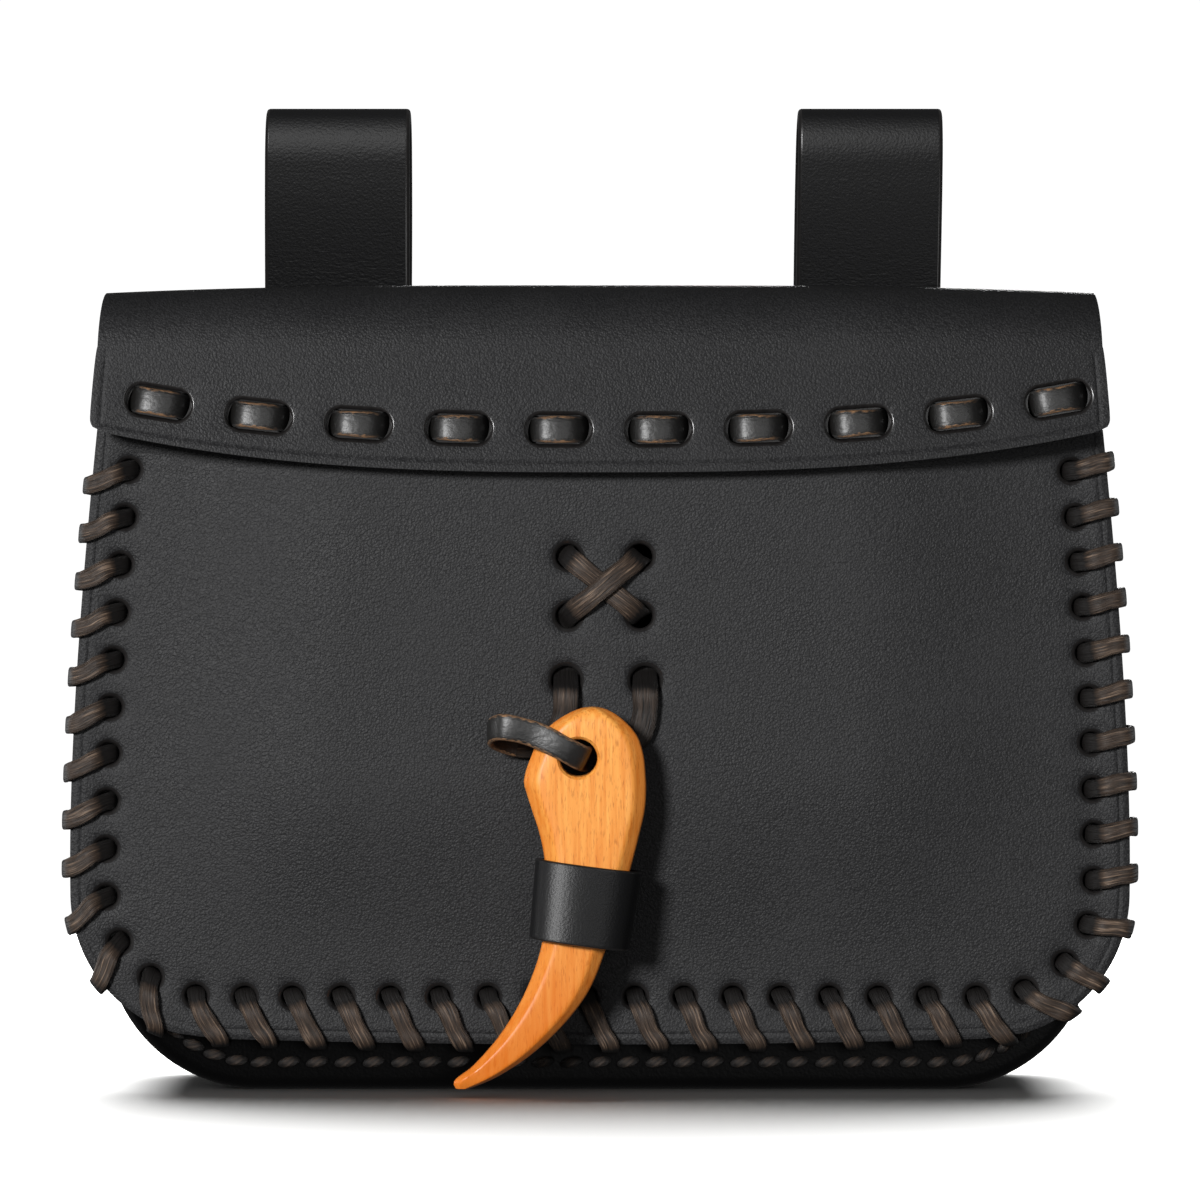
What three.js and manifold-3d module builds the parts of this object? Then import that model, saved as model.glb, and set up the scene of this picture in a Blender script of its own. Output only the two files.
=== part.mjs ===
// A belt bag of black leather. The back runs over the top into a short flap, a gusset makes the sides
// and the flat base, and a crowned front panel is laced along its rim. Two loops on the back take a
// belt, and a wooden tusk toggle hangs on a thong in the middle of the front.
// Millimetres. x runs to the right seen from the front, y to the back and z up. While the pieces are
// made, y is 0 on the front face of the front panel's rim. The finished group stands on z = 0.
import * as THREE from "three";
import { mergeVertices } from "three/addons/utils/BufferGeometryUtils.js";
import Module from "manifold-3d";

const wasm = await Module();
wasm.setup();

// Driving dimensions
const LEATHER = 2.4;
const GUSSET_LEATHER = 2.2;
const GAP = 0.3;

// Outlines of the upright panels: the side is a curve pulled towards a point, the corner is an arc.
const FRONT = {
  topHalf: 93, topZ: 143, pullHalf: 100.6, pullZ: 75, cornerHalf: 100, cornerRadius: 27.5, bottomZ: 10,
};
const GUSSET = {
  topHalf: 90, topZ: 137.6, pullHalf: 100, pullZ: 75, cornerHalf: 94, cornerRadius: 29, bottomZ: 0,
};
const BACK = {
  topHalf: 93, topZ: 138, pullHalf: 101, pullZ: 75, cornerHalf: 94.6, cornerRadius: 29, bottomZ: 0.5,
};
const FRONT_BOTTOM_DIP = 1.1;
const CROWN = { depth: 4, rim: 9, reach: 42 };

// Depths: the lip of the gusset stands behind the front panel, with room between for the lacing.
const LIP_FRONT = 4.3;
const LIP_WIDTH = 14;
const LIP_FOLD = 2.6;
const GUSSET_REAR = 38;
const BACK_Y = GUSSET_REAR + GAP + LEATHER / 2;

// Flap: centreline of the leather over the top and down the front.
const FLAP = {
  topZ: 151.2, backRadius: 13, frontRadius: 11, frontY: -7.6, topHalf: 93.2, lowHalf: 95.5,
  edgeZ: 116.7, edgeRise: 7.5, edgePower: 2.7, endDrop: 1.5, cornerCut: 2.2,
};
const FLAP_STITCH = {
  count: 10, pitch: 18.7, middle: 1.6, half: 4.4, aboveEdge: 8, holeHalfX: 2.2, holeHalfZ: 3.3, slant: 1.1,
};
const FLAP_LACE = { width: 4.6, thickness: 1.1 };

// Whip lacing round the rim of the front panel: the line of its holes, and its stitches along it. On
// each stretch the lace reaches the edge some millimetres further on than the hole that it comes from.
const HOLE_LINE = {
  topHalf: 86.2, topZ: 143, pullHalf: 93.8, pullZ: 75, cornerHalf: 93.2, cornerRadius: 20, bottomZ: 17.9,
};
const EDGE_STITCH = { first: 25.8, holeRadius: 2.7, slant: 1.3 };
const EDGE_STRETCHES = [
  { stretch: "left side", stitches: 11, pitch: 8.96, advance: 3.8 },
  { stretch: "bottom", stitches: 19, pitch: 9.22, advance: 4.9 },
  { stretch: "right side", stitches: 12, pitch: 8.58, advance: 1.3 },
];
const EDGE_LACE = { width: 3.5, thickness: 1, clear: 1, squareRun: 1.5 };

// Crossed lace and toggle thong in the middle of the front panel.
const CROSS = { left: -6, right: 7.5, high: 101, low: 89.8, holeRadius: 3.1 };
const CROSS_LACE = { width: 4, thickness: 1.1 };
const THONG = { left: -6.4, right: 8.5, holeZ: 77.7, holeHalfX: 3.5, holeHalfZ: 3.3, width: 4.8, thickness: 1.4 };

// Belt loops: the right one leans out a little towards its top.
const LOOP = { width: 28.4, topZ: 190.1, radius: 7.5, footZ: 62, joinZ: 98 };
const LOOP_LEFT = { footX: -51.5, topX: -51.7 };
const LOOP_RIGHT = { footX: 51, topX: 53.4 };

// Tusk toggle: one row for each level, with the wood's left and right side and its thickness.
const TOGGLE_BACK = -7.3;
const TOGGLE_DEPTH = 8;
const TOGGLE_MIDDLE = TOGGLE_BACK - TOGGLE_DEPTH / 2;
const TOGGLE_FACE = TOGGLE_BACK - TOGGLE_DEPTH;
const TOGGLE_HOLE = { x: -4, z: 63.4, radius: 3.6 };
const TOGGLE_ROWS = [
  { z: 72.4, left: -3.6, right: 0.6, thick: 6 },
  { z: 71.2, left: -7.2, right: 3.6, thick: 7.4 },
  { z: 68, left: -10.8, right: 6.6, thick: 8 },
  { z: 64, left: -13.1, right: 8.1, thick: 8 },
  { z: 59, left: -14.2, right: 8.6, thick: 8 },
  { z: 54, left: -13.4, right: 8.4, thick: 8 },
  { z: 49, left: -11.5, right: 7.3, thick: 8 },
  { z: 43.5, left: -10.2, right: 5.9, thick: 8 },
  { z: 36, left: -10, right: 3.7, thick: 7.8 },
  { z: 28, left: -11, right: 1.2, thick: 7.4 },
  { z: 19.6, left: -14, right: -2.3, thick: 6.8 },
  { z: 11.5, left: -18.8, right: -8.9, thick: 6 },
  { z: 5.8, left: -23.8, right: -16, thick: 4.8 },
  { z: 2.6, left: -27.3, right: -22, thick: 3.6 },
  { z: 1.7, left: -26.9, right: -24.4, thick: 2.6 },
];
const TOGGLE_CHAMFER = 0.28;

// Leather sleeve round the toggle: a row for its upper and its lower rim.
const SLEEVE = { thickness: 1.3, slope: -0.13, depthHalf: 5.8, roundness: 3.4 };
const SLEEVE_RIMS = [
  { x: -2.1, z: 43.4, half: 9.9 },
  { x: -3.9, z: 28.6, half: 9.3 },
];

// Materials
const BLACK_LEATHER = { color: 0x2b2b2c, roughness: 0.55, metalness: 0 };
const THONG_LEATHER = { color: 0x2c2825, roughness: 0.6, metalness: 0 };
const WAXED_LACE = { color: 0x4b3f36, roughness: 0.6, metalness: 0 };
const TOGGLE_WOOD = { color: 0xdd8a35, roughness: 0.42, metalness: 0 };

const vector = (x, y, z) => new THREE.Vector3(x, y, z);
const mix = (a, b, share) => a + (b - a) * share;
const spread = (steps) => Array.from({ length: steps + 1 }, (_, i) => i / steps);

// Mesh building

// Closed geometry from points and triangles, turned so that its faces point out.
function closedGeometry(points, triangles) {
  const volume = triangles.reduce(
    (sum, [a, b, c]) => sum + points[a].dot(points[b].clone().cross(points[c])),
    0,
  );
  const facing = volume < 0 ? triangles.map(([a, b, c]) => [a, c, b]) : triangles;
  const geometry = new THREE.BufferGeometry().setFromPoints(points);
  return geometry.setIndex(facing.flat());
}

// The band of triangles between two rows of point numbers.
function band(lower, upper) {
  const triangles = [];
  for (let i = 0; i + 1 < lower.length; i++) {
    triangles.push([lower[i], lower[i + 1], upper[i + 1]], [lower[i], upper[i + 1], upper[i]]);
  }
  return triangles;
}

// Closed wall between two grids of points with the same rows and columns.
function wall(outer, inner) {
  const points = [...outer.flat(), ...inner.flat()];
  const columns = outer[0].length;
  const numbers = (start) => outer.map((row, r) => row.map((_, c) => start + r * columns + c));
  const near = numbers(0);
  const far = numbers(outer.length * columns);
  const rim = (grid) => [
    ...grid[0].slice(0, -1),
    ...grid.slice(0, -1).map((row) => row.at(-1)),
    ...grid.at(-1).slice(1).reverse(),
    ...grid.slice(1).map((row) => row[0]).reverse(),
    grid[0][0],
  ];
  const triangles = band(rim(far), rim(near));
  for (let r = 0; r + 1 < near.length; r++) {
    triangles.push(...band(near[r], near[r + 1]), ...band(far[r + 1], far[r]));
  }
  return closedGeometry(points, triangles);
}

// Closed sections joined one after the other. An open row of sections is capped by the flat section.
function loft(sections, flat) {
  const count = sections[0].length;
  const ring = (s) => Array.from({ length: count + 1 }, (_, i) => s * count + (i % count));
  const triangles = [];
  const closed = !flat;
  const last = sections.length - 1;
  for (let s = 0; s < last + (closed ? 1 : 0); s++) {
    triangles.push(...band(ring(s), ring((s + 1) % sections.length)));
  }
  if (!closed) {
    for (const [a, b, c] of THREE.ShapeUtils.triangulateShape(flat, [])) {
      triangles.push([c, b, a], [last * count + a, last * count + b, last * count + c]);
    }
  }
  return closedGeometry(sections.flat(), triangles);
}

const RECTANGLE = [[-1, -1], [1, -1], [1, 1], [-1, 1]].map(([a, b]) => new THREE.Vector2(a, b));

// Flat strip along a route. Each row's lean is the angle of the strip's width from x towards z.
function ribbon(rows, width, thickness) {
  const points = rows.map((row) => vector(row.x, row.y, row.z));
  const sections = points.map((point, i) => {
    const after = points[Math.min(i + 1, points.length - 1)];
    const before = points[Math.max(i - 1, 0)];
    const leave = after.clone().sub(i + 1 < points.length ? point : before).normalize();
    const arrive = point.clone().sub(i > 0 ? before : point.clone().sub(leave)).normalize();
    const along = leave.clone().add(arrive).normalize();
    const lean = THREE.MathUtils.degToRad(rows[i].lean);
    const across = vector(Math.cos(lean), 0, Math.sin(lean));
    across.addScaledVector(along, -across.dot(along)).normalize();
    const out = across.clone().cross(along);
    const mitre = 1 / Math.max(along.dot(leave), 0.6);
    return RECTANGLE.map(({ x, y }) => point.clone()
      .addScaledVector(across, (x * width) / 2)
      .addScaledVector(out, (y * thickness * mitre) / 2));
  });
  return loft(sections, RECTANGLE);
}

// The same route on a smooth curve, with some steps between each pair of its rows.
function smooth(rows, steps) {
  const places = new THREE.CatmullRomCurve3(rows.map((row) => vector(row.x, row.y, row.z)));
  return spread((rows.length - 1) * steps).map((share) => {
    const at = share * (rows.length - 1);
    const from = Math.min(Math.floor(at), rows.length - 2);
    const { x, y, z } = places.getPoint(share);
    return { x, y, z, lean: mix(rows[from].lean, rows[from + 1].lean, at - from) };
  });
}

function solidOf(geometry) {
  const bare = geometry.clone();
  bare.deleteAttribute("normal");
  bare.deleteAttribute("uv");
  const merged = mergeVertices(bare, 1e-4);
  return new wasm.Manifold(new wasm.Mesh({
    numProp: 3,
    vertProperties: new Float32Array(merged.getAttribute("position").array),
    triVerts: new Uint32Array(merged.index.array),
  }));
}

// Geometry with each of the cutters taken out of it.
function pierced(geometry, cutters) {
  const cut = cutters.reduce((rest, cutter) => rest.subtract(solidOf(cutter)), solidOf(geometry));
  const { vertProperties, triVerts } = cut.getMesh();
  return new THREE.BufferGeometry()
    .setAttribute("position", new THREE.BufferAttribute(vertProperties, 3))
    .setIndex(new THREE.BufferAttribute(triVerts, 1));
}

// Round or oval punch along y.
function punch(x, y, z, halfX, halfZ, length, sides = 8) {
  return new THREE.CylinderGeometry(1, 1, length, sides).scale(halfX, 1, halfZ).translate(x, y, z);
}

// Panel outlines

// Half outline of a panel from its bottom edge up: half width and height of each row.
function sideRows(panel, cornerSteps, sideSteps) {
  const centre = panel.cornerHalf - panel.cornerRadius;
  const cornerZ = panel.bottomZ + panel.cornerRadius;
  const corner = spread(cornerSteps).map((share) => ({
    half: centre + panel.cornerRadius * Math.sin((share * Math.PI) / 2),
    z: cornerZ - panel.cornerRadius * Math.cos((share * Math.PI) / 2),
  }));
  const side = new THREE.QuadraticBezierCurve(
    new THREE.Vector2(panel.cornerHalf, cornerZ),
    new THREE.Vector2(panel.pullHalf, panel.pullZ),
    new THREE.Vector2(panel.topHalf, panel.topZ),
  );
  const upper = side.getPoints(sideSteps).slice(1).map(({ x, y }) => ({ half: x, z: y }));
  return [...corner, ...upper];
}

// The whole open outline as a path, from the top left corner round the bottom to the top right one.
function outlinePath(panel, dip) {
  const centre = panel.cornerHalf - panel.cornerRadius;
  const cornerZ = panel.bottomZ + panel.cornerRadius;
  return new THREE.Path()
    .moveTo(-panel.topHalf, panel.topZ)
    .quadraticCurveTo(-panel.pullHalf, panel.pullZ, -panel.cornerHalf, cornerZ)
    .absarc(-centre, cornerZ, panel.cornerRadius, Math.PI, 1.5 * Math.PI, false)
    .quadraticCurveTo(0, panel.bottomZ - 2 * dip, centre, panel.bottomZ)
    .absarc(centre, cornerZ, panel.cornerRadius, 1.5 * Math.PI, 2 * Math.PI, false)
    .quadraticCurveTo(panel.pullHalf, panel.pullZ, panel.topHalf, panel.topZ);
}

// Front panel: a wall that bulges forward inside its flat rim, punched for the lacing.

// How far the front panel bulges at a point of a row.
function crown(x, z, half) {
  const inside = Math.min(half - Math.abs(x), z - FRONT.bottomZ);
  return CROWN.depth * THREE.MathUtils.smoothstep(inside, CROWN.rim, CROWN.rim + CROWN.reach);
}

const PANEL_COLUMNS = [-1, -0.9, -0.72, -0.5, -0.25, 0, 0.25, 0.5, 0.72, 0.9, 1];

function frontPanel() {
  const rows = sideRows(FRONT, 5, 7);
  const flatHalf = FRONT.cornerHalf - FRONT.cornerRadius;
  const face = (depth) => rows.map(({ half, z }, r) => PANEL_COLUMNS.map((column) => {
    const x = column * half;
    const dip = r === 0 ? FRONT_BOTTOM_DIP * (1 - (x / flatHalf) ** 2) : 0;
    return vector(x, depth - crown(x, z, half), z - dip);
  }));
  const rimPunches = edgeStitches().map(({ along }) => {
    const { x, z } = byHole(along, 0);
    return punch(x, 0, z, EDGE_STITCH.holeRadius, EDGE_STITCH.holeRadius, 12);
  });
  const crossPunches = [CROSS.left, CROSS.right].flatMap((x) => [CROSS.high, CROSS.low].map((z) =>
    punch(x, 0, z, CROSS.holeRadius, CROSS.holeRadius, 20)));
  const thongPunches = [THONG.left, THONG.right].map((x) =>
    punch(x, 0, THONG.holeZ, THONG.holeHalfX, THONG.holeHalfZ, 20));
  return pierced(wall(face(0), face(LEATHER)), [...rimPunches, ...crossPunches, ...thongPunches]);
}

// Gusset: one strip round the sides and base, with its front edge turned in as a lip.
function gusset() {
  const half = sideRows(GUSSET, 6, 5);
  const line = [
    ...half.map((row) => new THREE.Vector2(-row.half, row.z)).reverse(),
    ...half.map((row) => new THREE.Vector2(row.half, row.z)),
  ];
  const fold = spread(3).map((share) => new THREE.Vector2(
    LIP_FOLD * (1 - Math.cos((share * Math.PI) / 2)),
    LIP_FRONT + LIP_FOLD * (1 - Math.sin((share * Math.PI) / 2)),
  ));
  const section = [
    new THREE.Vector2(0, GUSSET_REAR),
    ...fold,
    new THREE.Vector2(LIP_WIDTH, LIP_FRONT),
    new THREE.Vector2(LIP_WIDTH, LIP_FRONT + GUSSET_LEATHER),
    new THREE.Vector2(GUSSET_LEATHER, LIP_FRONT + GUSSET_LEATHER),
    new THREE.Vector2(GUSSET_LEATHER, GUSSET_REAR),
  ];
  const sections = line.map((point, i) => {
    const after = line[Math.min(i + 1, line.length - 1)];
    const before = line[Math.max(i - 1, 0)];
    const along = after.clone().sub(before).normalize();
    return section.map(({ x: inset, y }) =>
      vector(point.x - along.y * inset, y, point.y + along.x * inset));
  });
  return loft(sections, section);
}

// Back and flap: one wall up the back, over the top and down the front to a curved edge.

// Height of the flap's lower edge.
function flapEdge(x) {
  return FLAP.edgeZ + FLAP.edgeRise * Math.abs(x / FLAP.lowHalf) ** FLAP.edgePower;
}

// Stations of the leather's centreline, each with its half width and the way its outer face looks.
function flapStations() {
  const quarter = (steps) => spread(steps).slice(1).map((share) => (share * Math.PI) / 2);
  const back = sideRows(BACK, 5, 4).map(({ half, z }) => ({ half, y: BACK_Y, z, out: [1, 0] }));
  const backTop = quarter(4).map((turn) => ({
    half: FLAP.topHalf,
    y: BACK_Y - FLAP.backRadius * (1 - Math.cos(turn)),
    z: FLAP.topZ - FLAP.backRadius * (1 - Math.sin(turn)),
    out: [Math.cos(turn), Math.sin(turn)],
  }));
  const frontStart = FLAP.frontY + FLAP.frontRadius;
  const frontTop = [0, ...quarter(4)].map((turn) => ({
    half: FLAP.topHalf,
    y: frontStart - FLAP.frontRadius * Math.sin(turn),
    z: FLAP.topZ - FLAP.frontRadius * (1 - Math.cos(turn)),
    out: [-Math.sin(turn), Math.cos(turn)],
  }));
  const fall = [0.35, 0.65, 0.9, 1].map((share) => ({
    half: mix(FLAP.topHalf, FLAP.lowHalf, share) - (share === 1 ? FLAP.cornerCut : 0),
    y: FLAP.frontY,
    z: FLAP.topZ - FLAP.frontRadius,
    out: [-1, 0],
    fall: share,
  }));
  return [...back, ...backTop, ...frontTop, ...fall];
}

function backFlap() {
  const columns = spread(10).map((share) => share * 2 - 1);
  const face = (side) => flapStations().map(({ half, y, z, out, fall = 0 }) => columns.map((column) => {
    const x = column * half;
    const shift = (side * LEATHER) / 2;
    const onTop = Math.max(out[1], 0);
    const drop = FLAP.endDrop * onTop * Math.abs(column) ** 3;
    return vector(x, y + out[0] * shift, mix(z, flapEdge(x), fall) + out[1] * shift - drop);
  }));
  const punches = flapStitches().flatMap(({ x, z }) => [-1, 1].map((side) => punch(
    x + side * FLAP_STITCH.half, FLAP.frontY, z, FLAP_STITCH.holeHalfX, FLAP_STITCH.holeHalfZ, 6,
  )));
  return pierced(wall(face(1), face(-1)), punches);
}

// Belt loop: a strap up the back, over in a roll and down behind itself to its foot.
function beltLoop({ footX, topX }) {
  const frontY = BACK_Y + LEATHER + GAP;
  const rollZ = LOOP.topZ - LEATHER / 2 - LOOP.radius;
  const roll = spread(7).map((share) => ({
    y: frontY + LOOP.radius * (1 - Math.cos(share * Math.PI)),
    z: rollZ + LOOP.radius * Math.sin(share * Math.PI),
  }));
  const joinY = frontY + LEATHER + GAP;
  const route = [
    { y: frontY, z: LOOP.footZ },
    { y: frontY, z: LOOP.joinZ },
    ...roll,
    { y: mix(joinY, frontY + 2 * LOOP.radius, 0.62), z: mix(LOOP.joinZ, rollZ, 0.5) },
    { y: mix(joinY, frontY + 2 * LOOP.radius, 0.24), z: mix(LOOP.joinZ, rollZ, 0.2) },
    { y: joinY, z: LOOP.joinZ },
    { y: joinY, z: LOOP.footZ },
  ];
  const rows = route.map(({ y, z }) => {
    const x = mix(footX, topX, (z - LOOP.footZ) / (LOOP.topZ - LOOP.footZ));
    return { x, y, z, lean: 0 };
  });
  return ribbon(rows, LOOP.width, LEATHER);
}

// Whip lacing: one lace that comes out of each hole, crosses the rim, turns round the edge and goes
// back behind the panel to the next hole.

const holeLine = outlinePath(HOLE_LINE, 0);
const holeLineLength = holeLine.getLength();

// Each stitch's way along the line of holes, the way to the next one, and its advance.
function edgeStitches() {
  let along = EDGE_STITCH.first;
  return EDGE_STRETCHES.flatMap(({ stitches, pitch, advance }) => Array.from({ length: stitches }, () => {
    const stitch = { along, next: along + pitch, advance };
    along += pitch;
    return stitch;
  }));
}

// A place by a hole: its way along the line of holes and its distance out towards the edge.
function byHole(along, outward) {
  const share = along / holeLineLength;
  const point = holeLine.getPointAt(share);
  const tangent = holeLine.getTangentAt(share);
  return {
    x: point.x + tangent.y * outward,
    z: point.y - tangent.x * outward,
    lean: THREE.MathUtils.radToDeg(Math.atan2(tangent.y, tangent.x)),
  };
}

// A place by the panel's edge: the same, with its distance out past the edge.
function byEdge(along, outward) {
  const share = along / holeLineLength;
  const level = holeLine.getTangentAt(share).x ** 2;
  const flatHalf = FRONT.cornerHalf - FRONT.cornerRadius;
  const dip = FRONT_BOTTOM_DIP * Math.max(1 - (holeLine.getPointAt(share).x / flatHalf) ** 2, 0);
  const rim = mix(FRONT.cornerHalf - HOLE_LINE.cornerHalf, HOLE_LINE.bottomZ - FRONT.bottomZ + dip, level);
  return byHole(along, rim + outward);
}

function edgeLace() {
  const { clear, squareRun } = EDGE_LACE;
  const { slant } = EDGE_STITCH;
  const rows = edgeStitches().flatMap(({ along, next, advance }) => [
    { ...byHole(along, 0), y: LEATHER / 2 },
    { ...byHole(along + advance * 0.15, slant), y: -clear },
    { ...byEdge(along + advance * 0.9, 0), y: -clear },
    { ...byEdge(along + advance, clear), y: 0 },
    { ...byEdge(along + advance, clear), y: LEATHER },
    { ...byEdge(along + advance, 0), y: LEATHER + clear },
    { ...byEdge(along + advance, -squareRun), y: LEATHER + clear },
    { ...byHole(next, slant + squareRun), y: LEATHER + clear },
    { ...byHole(next, slant), y: LEATHER + clear },
  ]);
  return ribbon(rows, EDGE_LACE.width, EDGE_LACE.thickness);
}

// Flap lace: a running stitch through pairs of holes above the flap's edge.
function flapStitches() {
  return Array.from({ length: FLAP_STITCH.count }, (_, i) => {
    const x = FLAP_STITCH.middle + (i - (FLAP_STITCH.count - 1) / 2) * FLAP_STITCH.pitch;
    return { x, z: flapEdge(x) + FLAP_STITCH.aboveEdge };
  });
}

function flapLace() {
  const outside = FLAP.frontY - LEATHER / 2 - GAP - FLAP_LACE.thickness / 2;
  const inside = FLAP.frontY + LEATHER / 2 + GAP + FLAP_LACE.thickness / 2;
  const stitch = [
    { on: -FLAP_STITCH.half - FLAP_STITCH.slant, y: inside },
    { on: -FLAP_STITCH.half, y: FLAP.frontY },
    { on: -FLAP_STITCH.half + FLAP_STITCH.slant, y: outside },
    { on: FLAP_STITCH.half - FLAP_STITCH.slant, y: outside },
    { on: FLAP_STITCH.half, y: FLAP.frontY },
    { on: FLAP_STITCH.half + FLAP_STITCH.slant, y: inside },
  ];
  const rows = flapStitches().flatMap(({ x, z }) =>
    stitch.map(({ on, y }) => ({ x: x + on, y, z, lean: 90 })));
  return ribbon(rows, FLAP_LACE.width, FLAP_LACE.thickness);
}

// Crossed lace: down from the upper left hole, up behind the panel, and down again over itself.
function crossLace() {
  const onFace = -CROWN.depth - GAP - CROSS_LACE.thickness / 2;
  const inHole = LEATHER / 2 - CROWN.depth;
  const behind = LEATHER - CROWN.depth + GAP + CROSS_LACE.thickness / 2;
  const over = onFace - CROSS_LACE.thickness - GAP;
  const { left, right, high, low } = CROSS;
  const midX = (left + right) / 2;
  const midZ = (high + low) / 2;
  const rows = [
    { x: left - 4, y: behind, z: high + 4, lean: 50 },
    { x: left - 1, y: behind, z: high + 1.6, lean: 50 },
    { x: left, y: inHole, z: high, lean: 52 },
    { x: left + 1.6, y: onFace, z: high - 1.4, lean: 53 },
    { x: right - 1.6, y: onFace, z: low + 1.4, lean: 53 },
    { x: right, y: inHole, z: low, lean: 40 },
    { x: right + 0.3, y: behind, z: low + 2.2, lean: 5 },
    { x: right + 0.3, y: behind, z: high - 2.2, lean: -5 },
    { x: right, y: inHole, z: high, lean: -40 },
    { x: right - 1.6, y: onFace, z: high - 1.4, lean: -53 },
    { x: midX + 2.6, y: over, z: midZ + 2.2, lean: -53 },
    { x: midX - 2.6, y: over, z: midZ - 2.2, lean: -53 },
    { x: left + 1.6, y: onFace, z: low + 1.4, lean: -53 },
    { x: left, y: inHole, z: low, lean: -52 },
    { x: left - 1, y: behind, z: low - 1.6, lean: -50 },
    { x: left - 4, y: behind, z: low - 4, lean: -50 },
  ];
  return ribbon(rows, CROSS_LACE.width, CROSS_LACE.thickness);
}

// Toggle thong: out of the left hole, down behind the toggle, round its left side, across its face,
// through its hole and up behind it to the right hole.
function toggleThong() {
  const onPanel = -CROWN.depth - 2 * GAP - THONG.thickness / 2;
  const inside = LEATHER - CROWN.depth + GAP + THONG.thickness / 2;
  const onToggle = TOGGLE_FACE - GAP - THONG.thickness / 2;
  const { left, right, holeZ } = THONG;
  const rows = [
    { x: left, y: inside, z: holeZ + 5, lean: 0 },
    { x: left, y: inside, z: holeZ + 2.2, lean: 0 },
    { x: left, y: LEATHER / 2 - CROWN.depth, z: holeZ, lean: 0 },
    { x: left, y: onPanel, z: holeZ - 2.2, lean: 0 },
    { x: left - 0.4, y: onPanel, z: 70.5, lean: -4 },
    { x: -8.8, y: onPanel, z: 66.8, lean: -46 },
    { x: -13, y: onPanel, z: 65.6, lean: -80 },
    { x: -18, y: -7.6, z: 66.4, lean: -90 },
    { x: -20.4, y: -11.4, z: 68, lean: -90 },
    { x: -18.2, y: onToggle, z: 69.2, lean: -96 },
    { x: -12.6, y: onToggle, z: 68, lean: -110 },
    { x: -6.4, y: onToggle, z: 64.9, lean: -118 },
    { x: -4.5, y: TOGGLE_FACE + 0.8, z: 63.7, lean: -118 },
    { x: -4, y: TOGGLE_MIDDLE, z: 63.4, lean: -116 },
    { x: -3.6, y: TOGGLE_BACK - 0.6, z: 63.2, lean: -110 },
    { x: -1.2, y: onPanel, z: 62.8, lean: -92 },
    { x: 3.6, y: onPanel, z: 64, lean: -68 },
    { x: 7.2, y: onPanel, z: 67.2, lean: -36 },
    { x: right, y: onPanel, z: 71.5, lean: -4 },
    { x: right, y: onPanel, z: holeZ - 2.2, lean: 0 },
    { x: right, y: LEATHER / 2 - CROWN.depth, z: holeZ, lean: 0 },
    { x: right, y: inside, z: holeZ + 2.2, lean: 0 },
    { x: right, y: inside, z: holeZ + 5, lean: 0 },
  ];
  return ribbon(smooth(rows, 2), THONG.width, THONG.thickness);
}

// Toggle: a carved tusk with a flat back and face, chamfered sides and a hole for its thong.
function toggle() {
  const curve = (key) => new THREE.SplineCurve(TOGGLE_ROWS.map((row, i) => new THREE.Vector2(i, row[key])));
  const [left, right, level, thick] = ["left", "right", "z", "thick"].map(curve);
  const sections = spread(2 * (TOGGLE_ROWS.length - 1)).map((share) => {
    const at = (line) => line.getPoint(share).y;
    const halfDepth = at(thick) / 2;
    const chamfer = TOGGLE_CHAMFER * at(thick);
    const slant = Math.min(chamfer, (at(right) - at(left)) * 0.3);
    return [
      [at(left), halfDepth - chamfer], [at(left), chamfer - halfDepth],
      [at(left) + slant, -halfDepth], [at(right) - slant, -halfDepth],
      [at(right), chamfer - halfDepth], [at(right), halfDepth - chamfer],
      [at(right) - slant, halfDepth], [at(left) + slant, halfDepth],
    ].map(([x, depth]) => vector(x, TOGGLE_MIDDLE + depth, at(level)));
  });
  const cap = sections[0].map(({ x, y }) => new THREE.Vector2(x, y));
  const { x, z, radius } = TOGGLE_HOLE;
  return pierced(loft(sections, cap), [punch(x, TOGGLE_MIDDLE, z, radius, radius, 20, 14)]);
}

// Sleeve: a short oval tube of leather pushed up the toggle.
function toggleSleeve() {
  const oval = (turn, rim, inset) => {
    const bend = (value) => Math.sign(value) * Math.abs(value) ** (2 / SLEEVE.roundness);
    const x = (rim.half - inset) * bend(Math.cos(turn));
    const y = TOGGLE_MIDDLE + (SLEEVE.depthHalf - inset) * bend(Math.sin(turn));
    return vector(rim.x + x, y, rim.z + SLEEVE.slope * x);
  };
  const [upper, lower] = SLEEVE_RIMS;
  const sections = spread(24).slice(1).map((share) => {
    const turn = share * 2 * Math.PI;
    return [
      oval(turn, upper, 0), oval(turn, lower, 0),
      oval(turn, lower, SLEEVE.thickness), oval(turn, upper, SLEEVE.thickness),
    ];
  });
  return loft(sections);
}

// Assembly
const bag = new THREE.Group();

function add(name, geometry, finish) {
  const mesh = new THREE.Mesh(geometry, new THREE.MeshStandardMaterial(finish));
  mesh.name = name;
  bag.add(mesh);
}

add("front_panel", frontPanel(), BLACK_LEATHER);
add("gusset", gusset(), BLACK_LEATHER);
add("back_flap", backFlap(), BLACK_LEATHER);
add("belt_loop_left", beltLoop(LOOP_LEFT), BLACK_LEATHER);
add("belt_loop_right", beltLoop(LOOP_RIGHT), BLACK_LEATHER);
add("edge_lace", edgeLace(), WAXED_LACE);
add("flap_lace", flapLace(), WAXED_LACE);
add("cross_lace", crossLace(), WAXED_LACE);
add("toggle_thong", toggleThong(), THONG_LEATHER);
add("toggle", toggle(), TOGGLE_WOOD);
add("toggle_sleeve", toggleSleeve(), BLACK_LEATHER);

// Stand the bag on z = 0 with the middle of its box over the origin.
const box = new THREE.Box3().setFromObject(bag);
const centre = box.getCenter(vector(0, 0, 0));
bag.position.set(-centre.x, -centre.y, -box.min.z);

export default bag;
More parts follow.
